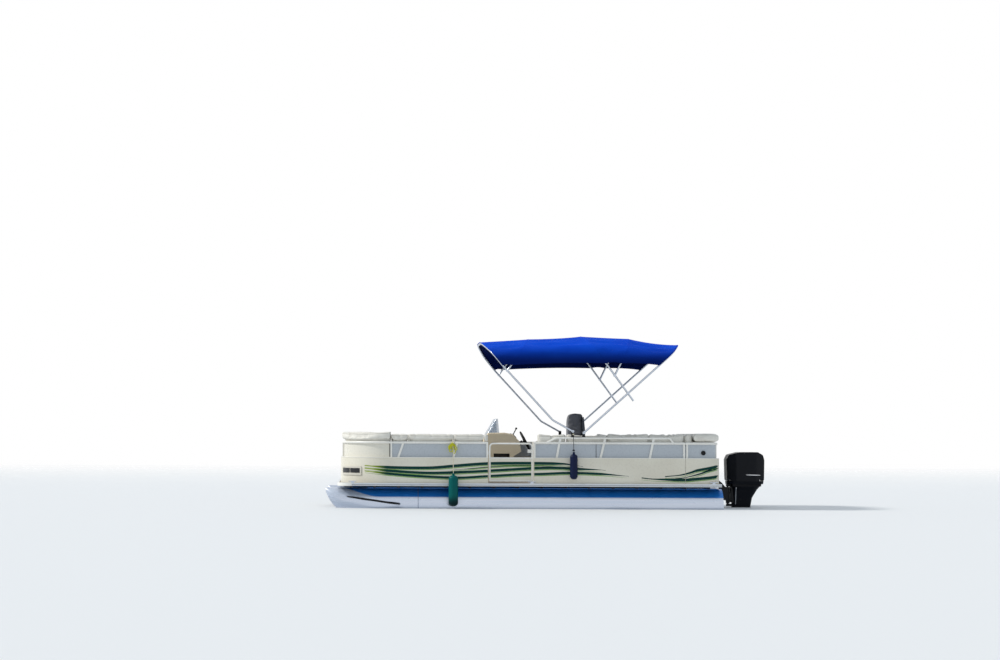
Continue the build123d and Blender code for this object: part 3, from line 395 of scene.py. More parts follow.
# the tube is made mostly non-metallic above about 0.2 m, so the painted reflection band shows as flat colour
hull_metal.set("Metallic", hull_metal.ease(height, 0.14, 0.22, 1.0, 0.2))
hull_metal.set("Roughness", hull_metal.ease(streaks, 0.3, 0.7, 0.22, 0.32))
hull_metal.bump(hull_metal.noise(3.2, 2.0, stretch=(1, 1, 2)), 0.12, 0.004)

pod_metal = Finish("pod_aluminium", (196, 202, 211), 0.34, 1.0, grain=(3.2, 2.0, 0.1, 0.004))
tube_metal = Finish("brushed_tube", (190, 198, 210), metallic=1.0, uneven=(7.0, 2.0, 0.26, 0.34))
beam_metal = Finish("cross_member_metal", (58, 62, 70), roughness=0.6, metallic=0.3)
beam_metal.set("Base Color", beam_metal.mix(beam_metal.noise(14.0), (48, 52, 60), (66, 70, 78)))

deck_cover = Finish("deck_vinyl", (150, 141, 128), roughness=0.75)
weave = deck_cover.wave("X", 90.0, 0.6)
across = deck_cover.wave("Y", 90.0, 0.6)
carpet = deck_cover.mix(weave * across, (128, 119, 106), (168, 159, 146))
# only the board's upper face is covered
upside = deck_cover.axes()[2] > deck_top - 0.002
deck_cover.set("Base Color", deck_cover.mix(upside, (120, 126, 134), carpet))
deck_cover.bump(weave + across, 0.35, 0.0008)

rub_plastic = Finish("rub_rail_plastic", (212, 213, 214), roughness=0.42)
scuffs = rub_plastic.noise(26.0, 5.0, 0.65, stretch=(0.15, 1, 1))
worn = rub_plastic.mix(rub_plastic.ease(scuffs, 0.55, 0.75), (216, 219, 222), (186, 190, 195))
groove = abs(rub_plastic.axes()[2] - (rub_rail_top - 0.030))
rub_plastic.set("Base Color", rub_plastic.mix(groove < 0.0035, worn, (70, 78, 88)))


def paint(name, colour, shade, gloss=0.4):
    """Gloss paint over sheet: a slow drift of shade, and sheet that is never quite flat."""
    made = Finish(name, colour, roughness=0.3, gloss=gloss)
    drift = made.noise(1.4, 2.0)
    made.set("Base Color", made.mix(made.ease(drift, 0.35, 0.65), colour, shade))
    made.set("Roughness", made.ease(made.noise(34.0, 4.0), 0.35, 0.7, 0.26, 0.36))
    made.bump(made.noise(2.6, 1.0, stretch=(1, 1, 1.6)), 0.05, 0.004)
    return made


panel_paint = paint("fence_cream", (226, 221, 205), (219, 213, 196))
# the blue-grey of the upper panels is painted shade over their cream
upper_paint = paint("upper_panels", (186, 192, 197), (178, 184, 190))
# painted shade: aft of the corner the upper panels, which share the lower panels' cream, are painted
# blue-grey for the shade they lie in; ahead of the side panels the upper fence is cream
corner = upper_paint.ease(upper_paint.axes()[0], 2.30, 2.31)
upper_shade = upper_paint.mix(upper_paint.noise(1.4, 2.0), (188, 194, 199), (178, 184, 191))
upper_paint.set("Base Color", upper_paint.mix(corner, upper_shade, (222, 218, 205)))
stripe_dark = paint("stripe_dark_green", (10, 66, 58), (8, 56, 50), 0.1)
stripe_light = paint("stripe_light_green", (118, 168, 74), (104, 154, 64), 0.2)
# the stripes turn light green towards their forward tips
tip = stripe_dark.ease(stripe_dark.axes()[0], 2.36, 2.66)
stripe_dark.set("Base Color", stripe_dark.mix(tip, (9, 58, 52), (140, 160, 44)))
# the frame is cream paint; its whiter tone over the panels' cream is a painted highlight where the rails,
# posts and braces catch light
frame_paint = paint("frame_cream", (240, 238, 231), (233, 230, 222))
moulded = Finish("moulded_seat_base", (214, 212, 205), 0.55, grain=(420.0, 2.0, 0.25, 0.0006))
lamp_shell = Finish("lamp_housing", (212, 207, 194), 0.4, grain=(60.0, 2.0, 0.08, 0.0006))
lamp_lens = Finish("lamp_lens", (20, 23, 28), roughness=0.1, gloss=0.35)
lamp_lens.bump(lamp_lens.wave("Z", 38.0), 0.5, 0.002)
black_plastic = Finish("black_plastic", (22, 23, 25), 0.45, gloss=0.2, grain=(600.0, 2.0, 0.3, 0.0004))


def vinyl(name, colour, shade):
    """Marine vinyl: a fine pebbled grain, a slow shade and a soft sheen."""
    made = Finish(name, colour, gloss=0.35, uneven=(11.0, 3.0, 0.42, 0.56))
    grain = made.node("TexVoronoi", {"feature": "SMOOTH_F1"}, Vector=made.place(), Scale=330.0)
    folds = made.noise(7.0, 3.0)
    made.set("Base Color", made.mix(made.ease(folds, 0.3, 0.75), colour, shade))
    made.bump(grain + folds * 3.0, 0.28, 0.0008)
    return made


def rope(name, colour, groove, roughness):
    """Laid rope: strands that run across the line at a slant, darker between them."""
    made = Finish(name, colour, roughness)
    strands = made.wave("DIAGONAL", 44.0)
    made.set("Base Color", made.mix(made.ease(strands, 0.0, 0.4), groove, colour))
    made.bump(strands, 0.6, 0.0015)
    return made


seat_vinyl = vinyl("seat_vinyl", (228, 225, 216), (216, 212, 202))
chair_vinyl = vinyl("chair_vinyl", (104, 106, 114), (88, 91, 100))
chair_plastic = Finish("chair_shell_plastic", (84, 88, 98), gloss=0.3, grain=(420.0, 2.0, 0.2, 0.0006))
piping_vinyl = vinyl("piping_vinyl", (206, 202, 192), (196, 191, 181))
console_tan = Finish("console_tan", (238, 221, 190), 0.34, gloss=0.4, grain=(90.0, 2.0, 0.1, 0.0006))
tan = console_tan.mix(console_tan.noise(3.0), (234, 216, 184), (242, 226, 197))
# painted shade: the inside of the cubby in the console's port side is painted dark for the shade in the
# recess
cubby_low, cubby_high = (0.229, -0.70, 0.559), (0.511, -0.424, 0.906)
cubby = 1.0
for place, low, high in zip(console_tan.axes(), cubby_low, cubby_high):
    cubby = (place > low) * (place < high) * cubby
console_tan.set("Base Color", console_tan.mix(cubby, tan, (52, 42, 36)))
smoked = Finish("clear_screen", (150, 172, 196), roughness=0.08)
smoked.set("Alpha", 0.42)
motor_black = Finish(
    "motor_black", (7, 11, 19), gloss=0.14, grain=(5.0, 3.0, 0.06, 0.004), uneven=(18.0, 4.0, 0.34, 0.46)
)
bracket_black = Finish("bracket_black", (14, 17, 22), gloss=0.2, uneven=(40.0, 3.0, 0.34, 0.5))
chrome = Finish("chrome_trim", (224, 226, 230), metallic=1.0, uneven=(30.0, 2.0, 0.06, 0.12))
block_iron = Finish("plain_block", (120, 122, 126), 0.6, 0.6, grain=(60.0, 2.0, 0.08, 0.0006))
propeller_metal = Finish("propeller_metal", (170, 173, 178), 0.3, 1.0, grain=(60.0, 2.0, 0.08, 0.0006))
canvas_blue = Finish("canopy_canvas", (3, 54, 176), roughness=0.85, gloss=0.06)
fading = canvas_blue.ease(canvas_blue.noise(1.7), 0.3, 0.7)
crown_blue = canvas_blue.mix(fading, (4, 66, 196), (10, 76, 208))
# painted shade: the canvas is painted darker down its sides, where the steep cloth lies in shade
high = canvas_blue.ease(canvas_blue.axes()[2], 2.43, 2.76)
canvas_blue.set("Base Color", canvas_blue.mix(high, (2, 24, 90), crown_blue))
cloth_weave = canvas_blue.wave("X", 160.0) * canvas_blue.wave("Y", 160.0)
canvas_blue.bump(cloth_weave + canvas_blue.noise(7.0, 2.0, stretch=(0.3, 1, 1)) * 2.5, 0.3, 0.0012)
# the canvas's underside is a darker navy than its top, as painted shade
canvas_under = Finish("canopy_underside", (3, 22, 78), 0.9, gloss=0.05, grain=(60.0, 2.0, 0.2, 0.001))
fender_green = Finish("fender_green", (1, 84, 82), 0.34, gloss=0.1, grain=(22.0, 3.0, 0.1, 0.002))
# painted shade: the fender darkens towards its lower end
fender_lower_shade = fender_green.ease(fender_green.axes()[2], 0.10, 0.24)
fender_green.set("Base Color", fender_green.mix(fender_lower_shade, (1, 36, 38), (1, 88, 86)))
fender_navy = Finish("fender_navy", (8, 22, 56), 0.36, gloss=0.15, grain=(22.0, 3.0, 0.1, 0.002))
rope_cream = rope("rope_cream", (222, 214, 190), (176, 168, 142), 0.8)
rope_dark = rope("rope_dark", (20, 24, 34), (12, 14, 22), 0.8)
rope_yellow = rope("rope_yellow", (206, 206, 34), (160, 160, 22), 0.75)

dress(hull_metal, "port_pontoon", "starboard_pontoon")
dress(pod_metal, "motor_pod")
dress(beam_metal, "cross_members")
dress(deck_cover, "deck_board")
dress(rub_plastic, "rub_rail")
dress(tube_metal, *[n for n in frame["nodes"] if n.startswith("bimini_")])
dress(bracket_black, "bimini_mounts")
dress(frame_paint, *named("_frame", "_frames"))
dress(tube_metal, "mooring_cleats", "chair_pedestal")
dress(panel_paint, *named("_panels", "gate_panel"))
dress(upper_paint, "upper_panels")
dress(lamp_shell, "docking_lights")
dress(lamp_lens, "docking_light_lenses")
dress(moulded, "bow_lounge_bases", "stern_lounge_base", "stern_corner_pods")
dress(chair_plastic, "chair_shell")
dress(seat_vinyl, *named("_cushions", "corner_pads"))
dress(chair_vinyl, "chair_cushions")
dress(console_tan, "helm_console")
dress(smoked, "windscreen")
dress(black_plastic, "steering_wheel", "steering_column", "throttle_control", "fuel_filler_cap")
dress(bracket_black, "clamp_bracket", "swivel_bracket")
dress(motor_black, "motor_cowl", "motor_leg", "motor_gearcase")
dress(block_iron, "motor_powerhead")
dress(propeller_metal, "propeller")
dress(canvas_blue, "canopy")
dress(fender_green, "green_fender")
dress(fender_navy, "navy_fender")
dress(rope_cream, *named("_fender_line", "fender_hitches"))

# Camera: far off to port, level with the seats
camera = in_scene("camera", bpy.data.cameras.new("camera"))
bpy.context.scene.camera = camera
camera.data.sensor_width = 36.0
camera.data.lens = 75.6
camera.data.shift_x = 0.124
camera.data.clip_end = 400.0
pitch, roll = math.radians(2.93), math.radians(0.24)
camera.location = (2.57, 36.27, 1.175)
gaze = Vector((0, -math.cos(pitch), math.sin(pitch)))
camera.rotation_mode = "QUATERNION"
camera.rotation_quaternion = gaze.to_track_quat("-Z", "Y") @ Quaternion((0, 0, 1), roll)


# Fender lines: the hitch behind the rail, then straight down to the fender's eye
def fender_cord(name, route, diameter, finish):
    """A free line as a smooth curve whose control points are the route."""
    curve = bpy.data.curves.new(name, "CURVE")
    curve.dimensions = "3D"
    curve.bevel_depth = diameter / 2
    curve.bevel_resolution = 3
    curve.use_fill_caps = True
    spline = curve.splines.new("NURBS")
    spline.points.add(len(route) - 1)
    for point, place in zip(spline.points, route):
        point.co = (*place, 1)
    spline.order_u = 3
    spline.use_endpoint_u = True
    spline.resolution_u = 8
    curve.materials.append(finish.material)
    return in_scene(name, curve)


line_diameter = 0.010
green_route = [(1.277, 1.252, 1.095), (1.277, 1.284, 0.967), (1.277, 1.332, 0.775), (1.277, 1.380, 0.583)]
navy_route = [(-0.725, 1.252, 1.240), (-0.725, 1.272, 1.165), (-0.725, 1.302, 1.053), (-0.725, 1.330, 0.941)]
green_line = fender_cord("green_line", green_route, line_diameter, rope_cream)
navy_line = fender_cord("navy_line", navy_route, line_diameter, rope_dark)
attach(green_line, "hull")
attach(navy_line, "hull")
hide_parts("green_fender_line")
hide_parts("navy_fender_line")


def knot(name, centre, radius, finish, turns=3):
    """A stopper knot: a thick line wound round a small torus."""
    t = round_angles(72)
    ring = radius * (1 + 0.32 * np.cos(turns * t))
    path = np.stack([ring * np.cos(t), ring * np.sin(t), radius * 0.55 * np.sin(turns * t)], axis=1)
    return round_tube(name, path + np.asarray(centre), radius * 0.42, finish, sides=10, closed=True)


def hank(name, top, finish):
    """A bundle of slack line: loops of differing drop that fan out under one hitch."""
    loops = []
    drops = (0.120, 0.172, 0.150, 0.105, 0.080)
    leans = (-0.5, -0.15, 0.25, 0.55, 0.8)
    widths = (0.032, 0.038, 0.036, 0.028, 0.024)
    for index, (drop, lean, width) in enumerate(zip(drops, leans, widths)):
        t = round_angles(48)
        down = drop * (1 - np.cos(t)) / 2
        across = width * np.sin(t) * np.sin(t / 2)
        x = across + lean * down
        y = 0.006 * (index - 2) + 0.05 * down
        path = np.stack([top[0] + x, top[1] + y, top[2] - down], axis=1)
        loops.append(round_tube(f"{name}_{index}", path, 0.0075, finish, sides=8, closed=True))
    return joined(name, loops)


green_knot = knot("green_fender_knot", (1.277, 1.366, 0.640), 0.013, rope_cream)
navy_knot = knot("navy_fender_knot", (-0.725, 1.3225, 0.975), 0.013, rope_dark)
rail_hank = hank("spare_line_hank", (1.285, 1.262, 1.092), rope_yellow)
rail_knot = knot("rail_knot", (1.277, 1.262, 1.100), 0.018, rope_cream)
for piece in (green_knot, navy_knot, rail_hank, rail_knot):
    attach(piece, "hull")

# Canopy: one sheet from bow to bow
# bow: its lowest corner and its crown in (x, z), and the height of the hem there
canopy_bows = [
    ((0.433, 2.362), (0.782, 2.786), 2.385),
    ((0.375, 2.299), (-0.014, 2.843), 2.395),
    ((-1.640, 1.930), (-0.936, 2.893), 2.430),
    ((-1.425, 2.224), (-1.730, 2.857), 2.430),
    ((-0.900, 1.267), (-2.559, 2.754), 2.400),
]
canopy_lift = bow_tube_radius + 0.0035
columns_across = 121


def canopy_arch(low, crown, hem_z):
    """The sheet's line over one bow, from the port hem to the starboard hem."""
    half = bow_half_width + canopy_lift
    low = np.array([low[0], half, low[1]])
    crown = np.array([crown[0], half, crown[1]])
    rise = (crown - low) / np.linalg.norm(crown - low)
    shoulder = crown - rise * shoulder_drop
    hem = shoulder - rise * (shoulder[2] - hem_z) / rise[2]
    up = rise * canopy_lift / rise[2]
    top = np.array([crown[0], crown_half, crown[2]]) + up
    port = [hem, shoulder + up, top]
    corners = port + [point * (1, -1, 1) for point in reversed(port)]
    radii = [shoulder_radius + canopy_lift, crown_radius, crown_radius, shoulder_radius + canopy_lift]
    return filleted(corners, radii, columns_across)


arches = np.array([canopy_arch(*bow) for bow in canopy_bows])
bay_rows = [18, 22, 18, 20]
bay_sag = [0.010, 0.016, 0.012, 0.034]
tension_depth, fold_height, hem_rise = 0.009, 0.012, 0.020
cloth_thickness, hem_radius, seam_radius = 0.0018, 0.0042, 0.0026
rows = [arches[:1]]
for bay, (count, sag) in enumerate(zip(bay_rows, bay_sag)):
    # from bow to bow, and from the crown (0) to a hem (1)
    along_bay = np.linspace(0, 1, count + 1)[1:, None, None]
    across = np.linspace(-1, 1, columns_across)[None, :, None]
    off_crown = np.abs(across)
    sheet = arches[bay] * (1 - along_bay) + arches[bay + 1] * along_bay
    hollow = 4 * along_bay * (1 - along_bay)
    middle_weight = np.clip(1.15 - across**6, 0, 1)
    edge = np.clip((off_crown - 0.82) / 0.18, 0, 1) ** 1.5
    out_way = np.cross(np.gradient(sheet, axis=1), arches[bay] - arches[bay + 1])
    out_way *= np.sign(out_way[:, :, 2:]) / np.linalg.norm(out_way, axis=2, keepdims=True)
    tension = tension_depth * np.sin(off_crown * 31 + 2.2 * along_bay + 1.7 * bay) * hollow
    ridge = (1 - np.abs(np.sin(off_crown * 26 - 1.6 * along_bay + 0.8 * bay))) ** 2
    on_shoulder = np.clip((off_crown - 0.3) / 0.3, 0.1, 1)
    folds = fold_height * ridge * (0.3 + 0.7 * hollow) * on_shoulder
    drop = -sag * hollow * middle_weight + hem_rise * hollow * edge
    inward = -0.006 * hollow * edge * np.sign(-across)
    sheet = sheet + drop * np.array([0, 0, 1.0]) + inward * np.array([0, 1.0, 0])
    rows.append(sheet + out_way * (tension + folds) * middle_weight)
canopy_grid = np.concatenate(rows)
canopy = grid_piece("canopy_sheet", canopy_grid, canvas_blue)
canopy.data.flip_normals()
wall = canopy.modifiers.new("thickness", "SOLIDIFY")
wall.thickness = cloth_thickness
wall.offset = 0
canopy.data.materials.append(canvas_under.material)
wall.material_offset = 1
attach(canopy, "hull")
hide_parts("canopy")

# A rolled hem round the sheet, and a seam over each middle bow
hems = []
for line in (canopy_grid[:, 0], canopy_grid[:, -1], canopy_grid[0], canopy_grid[-1]):
    hems.append(round_tube("canopy_hem", line, hem_radius, canvas_blue, sides=8))
for row in np.cumsum(bay_rows)[:-1]:
    hems.append(round_tube("canopy_seam", canopy_grid[row], seam_radius, canvas_blue, sides=6))
canopy_hem = joined("canopy_hem", hems)
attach(canopy_hem, "hull")
for piece in (canopy, canopy_hem):
    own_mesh(piece)


# Cushions: each is remeshed a little small, blown up as cloth and held to its solid's room
def islands(node):
    """The separate solids of a CAD node, each as points and triangles."""
    shape = bmesh.new()
    shape.from_mesh(frame["nodes"][node].data)
    bmesh.ops.remove_doubles(shape, verts=shape.verts, dist=1e-5)
    bmesh.ops.recalc_face_normals(shape, faces=shape.faces)
    shape.verts.ensure_lookup_table()
    shape.verts.index_update()
    co = np.array([v.co for v in shape.verts])
    normal = np.array([v.normal for v in shape.verts])
    faces = np.array([[v.index for v in f.verts] for f in shape.faces])
    one, two = np.array([[v.index for v in e.verts] for e in shape.edges]).T
    shape.free()
    # vertices that edges join all end with the lowest number among them
    group = np.arange(len(co))
    before = None
    while not np.array_equal(before, group):
        before = group.copy()
        np.minimum.at(group, one, before[two])
        np.minimum.at(group, two, before[one])
    found = []
    for k in np.unique(group):
        mine = np.flatnonzero(group == k)
        renumber = np.full(len(group), -1)
        renumber[mine] = np.arange(len(mine))
        found.append((co[mine], normal[mine], renumber[faces[group[faces[:, 0]] == k]]))
    return found


def vectors_of(mesh, source="vertices", name="co"):
    """One vector for each vertex of a mesh, its place unless another is named."""
    values = getattr(mesh, source)
    found = np.empty(len(values) * 3)
    values.foreach_get(name, found)
    return found.reshape(-1, 3)


def applied(piece):
    """Write a piece's modifiers into its mesh."""
    graph = bpy.context.evaluated_depsgraph_get()
    mesh = bpy.data.meshes.new_from_object(piece.evaluated_get(graph))
    piece.modifiers.clear()
    piece.data = mesh
    return piece


def blown_up(piece, cap):
    """Cloth under its own pressure; a point that would move further than the cap settles towards it."""
    before = vectors_of(piece.data)
    cloth = piece.modifiers.new("cloth", "CLOTH")
    cloth.settings.use_pressure = True
    cloth.settings.uniform_pressure_force = 4.0
    cloth.settings.effector_weights.gravity = 0.0
    cloth.settings.quality = 4
    cloth.collision_settings.use_collision = False
    cloth.point_cache.frame_start = 1
    cloth.point_cache.frame_end = 20
    for moment in range(1, 21):
        bpy.context.scene.frame_set(moment)
    applied(piece)
    bpy.context.scene.frame_set(1)
    step = vectors_of(piece.data) - before
    far = np.maximum(np.linalg.norm(step, axis=1), 1e-9)[:, None]
    return before + step * cap * np.tanh(far / cap) / far


def padded_piece(name, node, finish, voxel, channels, start=0.011, cap=0.024, crown=0.010):
    """The node's cushions as blown-up cloth; channels are (axis, places, depth, width) sewn across them."""
    made = []
    limits = []
    for co, normal, faces in islands(node):
        one = mesh_piece(name, co - normal * start, faces, finish)
        remesh = one.modifiers.new("remesh", "REMESH")
        remesh.mode = "VOXEL"
        remesh.voxel_size = voxel
        applied(one)
        limits.append((len(one.data.vertices), co.min(axis=0), co.max(axis=0)))
        made.append(one)
    piece = joined(name, made) if len(made) > 1 else made[0]
    points = blown_up(piece, cap)
    first = 0
    for count, low, high in limits:
        mine = slice(first, first + count)
        first += count
        room_low, room_high = low + 0.001, high - 0.001
        room_high[2] = high[2] + crown
        own_low, own_high = points[mine].min(axis=0), points[mine].max(axis=0)
        points[mine] = room_low + (points[mine] - own_low) / (own_high - own_low) * (room_high - room_low)
    normals = vectors_of(piece.data, "vertex_normals", "vector")
    for axis, places, depth, width in channels:
        gap = np.min(np.abs(points[:, axis, None] - np.asarray(places)[None]), axis=1)
        points -= normals * (depth * np.exp(-((gap / width) ** 2)))[:, None]
    piece.data.vertices.foreach_set("co", points.ravel())
    piece.data.update()
    piece.data.shade_smooth()
    piece.data.materials.clear()
    piece.data.materials.append(finish.material)
    return piece


def welt(name, cushion, loop, radius, finish):
    """Piping: a thin tube along a loop, laid on the nearest place of the cushion."""
    surface = BVHTree.FromPolygons(
        [v.co for v in cushion.data.vertices], [tuple(f.vertices) for f in cushion.data.polygons]
    )
    laid = []
    for point in loop:
        place, normal, _, _ = surface.find_nearest(Vector(point))
        laid.append(place + normal * radius * 0.5)
    laid = np.array(laid)
    for _ in range(3):
        laid = (np.roll(laid, 1, axis=0) + 2 * laid + np.roll(laid, -1, axis=0)) / 4
    return round_tube(name, laid, radius, finish, sides=6, closed=True)


# piece: node and channels, each (axis, places, depth, width)
side_back_channels = (0, [-0.37, -0.86, -1.08, -1.53, -1.77, -2.2, -2.4], 0.009, 0.013)
stern_back_channels = (1, [0.85, 0.38, 0.19, -0.19, -0.38, -0.85], 0.007, 0.013)
cushion_table = {
    "bow_seat_pads": ("bow_seat_cushions", [(0, [2.62, 1.92, 1.15], 0.010, 0.014)]),
    "bow_back_pads": ("bow_back_cushions", [(0, [2.165, 1.90, 1.64, 1.38, 1.01], 0.008, 0.013)]),
    "stern_seat_pads": ("stern_seat_cushions", [(0, [-0.48, -1.16, -1.82], 0.010, 0.014)]),
    "stern_back_pads": ("stern_back_cushions", [side_back_channels, stern_back_channels]),
    "corner_rest_pads": ("corner_pads", []),
    "chair_pads": ("chair_cushions", []),
}
cushions = {}
for name, (node, channels) in cushion_table.items():
    on_chair = name == "chair_pads"
    finish = chair_vinyl if on_chair else seat_vinyl
    voxel = 0.018 if channels else 0.012
    piece = padded_piece(name, node, finish, voxel=voxel, channels=channels)
    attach(piece, "chair" if on_chair else "hull")
    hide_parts(node)
    cushions[name] = piece

# Piping round the cushions' upper edges: each cushion ends short of its seams
corner_seam = 2.306
front_end_y = 0.456
seam_gap = 0.016
side_shift = 0.004
piping_radius = 0.0045
seat_z, back_z, corner_back_z, stern_back_z = 0.848, 1.211, 1.243, 1.223
roll_out, back_out, back_in = 0.028, 0.090, 0.201
seat_out, seat_in = 0.090, 0.672
back_y = (fence_half_width - back_in, fence_half_width - back_out)
seat_y = (fence_half_width - seat_in, fence_half_width - seat_out)
roll_y = (fence_half_width - back_in, fence_half_width - roll_out)


def corner_ring(outer, inner, z):
    """A loop at two depths inside the bow fence: across the front, round the corner and down the side."""
    lines = []
    for depth in (outer, inner):
        x, y = fence_bow_x - depth, fence_half_width - depth
        corners = [(x, front_end_y, z), (x, y, z), (corner_seam + seam_gap, y, z)]
        lines.append(filleted(corners, [fence_bow_radius - depth], 60))
    return np.vstack([lines[0], lines[1][::-1]])


def straight_ring(x, y, z):
    """A rounded rectangle lying at one height."""
    start = ((x[0] + x[1]) / 2, y[0], z)
    corners = [start, (x[1], y[0], z), (x[1], y[1], z), (x[0], y[1], z), (x[0], y[0], z), start]
    return filleted(corners, [0.035] * 4, 81)[:-1]


def mirrored(ring):
    """The same loop on the starboard side."""
    return ring * (1, -1, 1)


def inside(high, low, forward=0.0):
    """The limits of a cushion between two seams."""
    return (low + seam_gap + forward, high - seam_gap + forward)


bow_backs = [corner_ring(roll_out, back_in, corner_back_z)]
for high, low in [(corner_seam, 2.025), (2.025, 1.265), (1.265, 0.760)]:
    bow_backs.append(straight_ring(inside(high, low), roll_y, back_z))
bow_seats = [corner_ring(seat_out, seat_in, seat_z)]
for high, low in [(corner_seam, 1.540), (1.540, 0.760)]:
    bow_seats.append(straight_ring(inside(high, low), seat_y, seat_z))
stern_backs = []
stern_seats = []
port_backs = [(-0.134, -0.617, 1.213), (-0.617, -1.300, back_z), (-1.300, -2.0, stern_back_z)]
for high, low, top in port_backs + [(-2.0, -2.589, stern_back_z)]:
    stern_backs.append(straight_ring(inside(high, low, side_shift), back_y, top))
for high, low in [(-1.350, -2.0), (-2.0, -2.589)]:
    stern_backs.append(mirrored(straight_ring(inside(high, low, side_shift), back_y, stern_back_z)))
for high, low in [(1.177, 0.569), (0.569, 0.0), (0.0, -0.569), (-0.569, -1.177)]:
    stern_backs.append(straight_ring((-2.710, -2.601), inside(high, low), stern_back_z))
    stern_seats.append(straight_ring((-2.712, -2.126), inside(high, low), seat_z))
for high, low in [(-0.134, -0.820), (-0.820, -1.500), (-1.500, -2.114)]:
    stern_seats.append(straight_ring(inside(high, low, side_shift), seat_y, seat_z))
stern_seats.append(mirrored(straight_ring((-2.094, -1.362), seat_y, seat_z)))
welts = {
    "bow_back_pads": bow_backs + [mirrored(ring) for ring in bow_backs],
    "bow_seat_pads": bow_seats + [mirrored(ring) for ring in bow_seats],
    "stern_back_pads": stern_backs,
    "stern_seat_pads": stern_seats,
}
for name, rings in welts.items():
    laid = [welt("welt", cushions[name], ring, piping_radius, piping_vinyl) for ring in rings]
    piping = joined(f"{name}_piping", laid)
    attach(piping, "hull")


# Motor trim, laid on the cover
def on_node(name, start, toward):
    """Where a ray first meets a CAD node, and which way the face looks there."""
    hit, place, normal, _ = frame["nodes"][name].ray_cast(Vector(start), Vector(toward))
    return (place, normal) if hit else (None, None)


def side_line(node, points, side):
    """The points (x, z) carried inward on to a node's side; a point that misses it is left out."""
    hits = [on_node(node, (x, side * 2.0, z), (0, -side, 0))[0] for x, z in points]
    return np.array([tuple(place) for place in hits if place is not None])


def laid_strip(name, node, points, side, width, proud, finish):
    """A raised band on a node's side: half-round in section, pointed at both ends."""
    path = side_line(node, points, side)
    taper = np.sin(np.linspace(0.12, math.pi - 0.12, len(path))) ** 0.35
    turn = round_angles(10)
    tall = np.cos(turn)[None, :] * (width / 2 * taper)[:, None]
    out = np.sin(turn)[None, :] * proud * side
    grid = path[:, None, :] + np.stack([0 * tall, out + 0 * tall, tall], axis=2)
    return outward(grid_piece(name, grid, finish, wrap_columns=True), ends_open=True)


trim_x, trim_z, trim_width, trim_proud = (-3.775, -4.035), 0.560, 0.014, 0.004
trim = []
for side in (1, -1):
    line = [(x, trim_z + 0.02 * (x + 3.8)) for x in np.linspace(*trim_x, 24)]
    trim.append(laid_strip("trim", "motor_cowl", line, side, trim_width, trim_proud, chrome))
cowl_trim = joined("motor_cowl_trim", trim)
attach(cowl_trim, "motor")

# The yoke between the steering sleeve and the leg, and the bright rod down the leg's side
yoke_x, yoke_y, yoke_z, yoke_edge = (-3.650, -3.5375), (-0.060, 0.060), (0.085, 0.415), 0.008
rod_x, rod_z, rod_radius = -3.625, (0.345, 0.050), 0.0065
yoke = rounded_block("motor_yoke", yoke_x, yoke_y, yoke_z, yoke_edge, bracket_black)
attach(yoke, "motor")
rods = []
for side in (1, -1):
    path = side_line("motor_leg", [(rod_x, z) for z in np.linspace(*rod_z, 12)], side)
    rods.append(round_tube(f"rod_{side}", path, rod_radius, chrome, sides=10))
leg_rods = joined("motor_leg_rods", rods)
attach(leg_rods, "motor")

# A dark strip under each spray rail as painted shadow, and moulded ends where the bow lounges meet the gates
rail_x, rail_z = (2.157, 2.45, 2.76, 3.07), (0.075, 0.117, 0.160, 0.203)
shadow_width, shadow_proud, shadow_drop = 0.034, 0.009, 0.007
rail_shadow_strips = []
for side, node in ((1, "port_pontoon"), (-1, "starboard_pontoon")):
    line = [(x, np.interp(x, rail_x, rail_z) - shadow_drop) for x in np.linspace(3.04, 2.16, 40)]
    rail_shadow_strips.append(laid_strip(f"shadow_strip_{side}", node, line, side, shadow_width, shadow_proud, bracket_black))
spray_rail_shadows = joined("spray_rail_shadow_strips", rail_shadow_strips)
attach(spray_rail_shadows, "hull")
end_x, end_z, end_edge = (0.697, 0.756), (1.122, 1.232), 0.022
ends = []
for side in (1, -1):
    y = sorted((side * 1.100, side * 1.238))
    ends.append(rounded_block(f"end_{side}", end_x, y, end_z, end_edge, moulded))
lounge_ends = joined("bow_lounge_ends", ends)
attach(lounge_ends, "hull")

# Gauges in the console's sloped face: profiles as (share of the radius, height)
bezel = [
    (0.0, 0.001), (0.80, 0.001), (0.84, 0.006), (0.92, 0.009), (1.0, 0.006), (1.0, 0.0), (0.0, -0.001),
]
dial = [(0.0, 0.0032), (0.81, 0.0032), (0.81, 0.0012), (0.0, 0.0012)]


def gauge(name, centre, normal, radius):
    """A rounded bezel round a sunk dial, facing along a direction."""
    turned = []
    for profile, finish in ((bezel, chrome), (dial, lamp_lens)):
        turned.append(lathe(name, [(share * radius, z) for share, z in profile], finish))
    made = joined(name, turned)
    turn = Vector((0, 0, 1)).rotation_difference(Vector(normal))
    made.data.transform(turn.to_matrix().to_4x4())
    made.data.transform(Matrix.Translation(Vector(centre)))
    return made


gauges = []
for offset, size in ((0.155, 0.042), (0.0, 0.055), (-0.155, 0.042)):
    place, normal = on_node("helm_console", (0.05, -0.8 + offset, 1.6), (0.28, 0, -1))
    gauges.append(gauge("gauge", place, normal, size))
gauge_set = joined("helm_gauges", gauges)
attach(gauge_set, "hull")


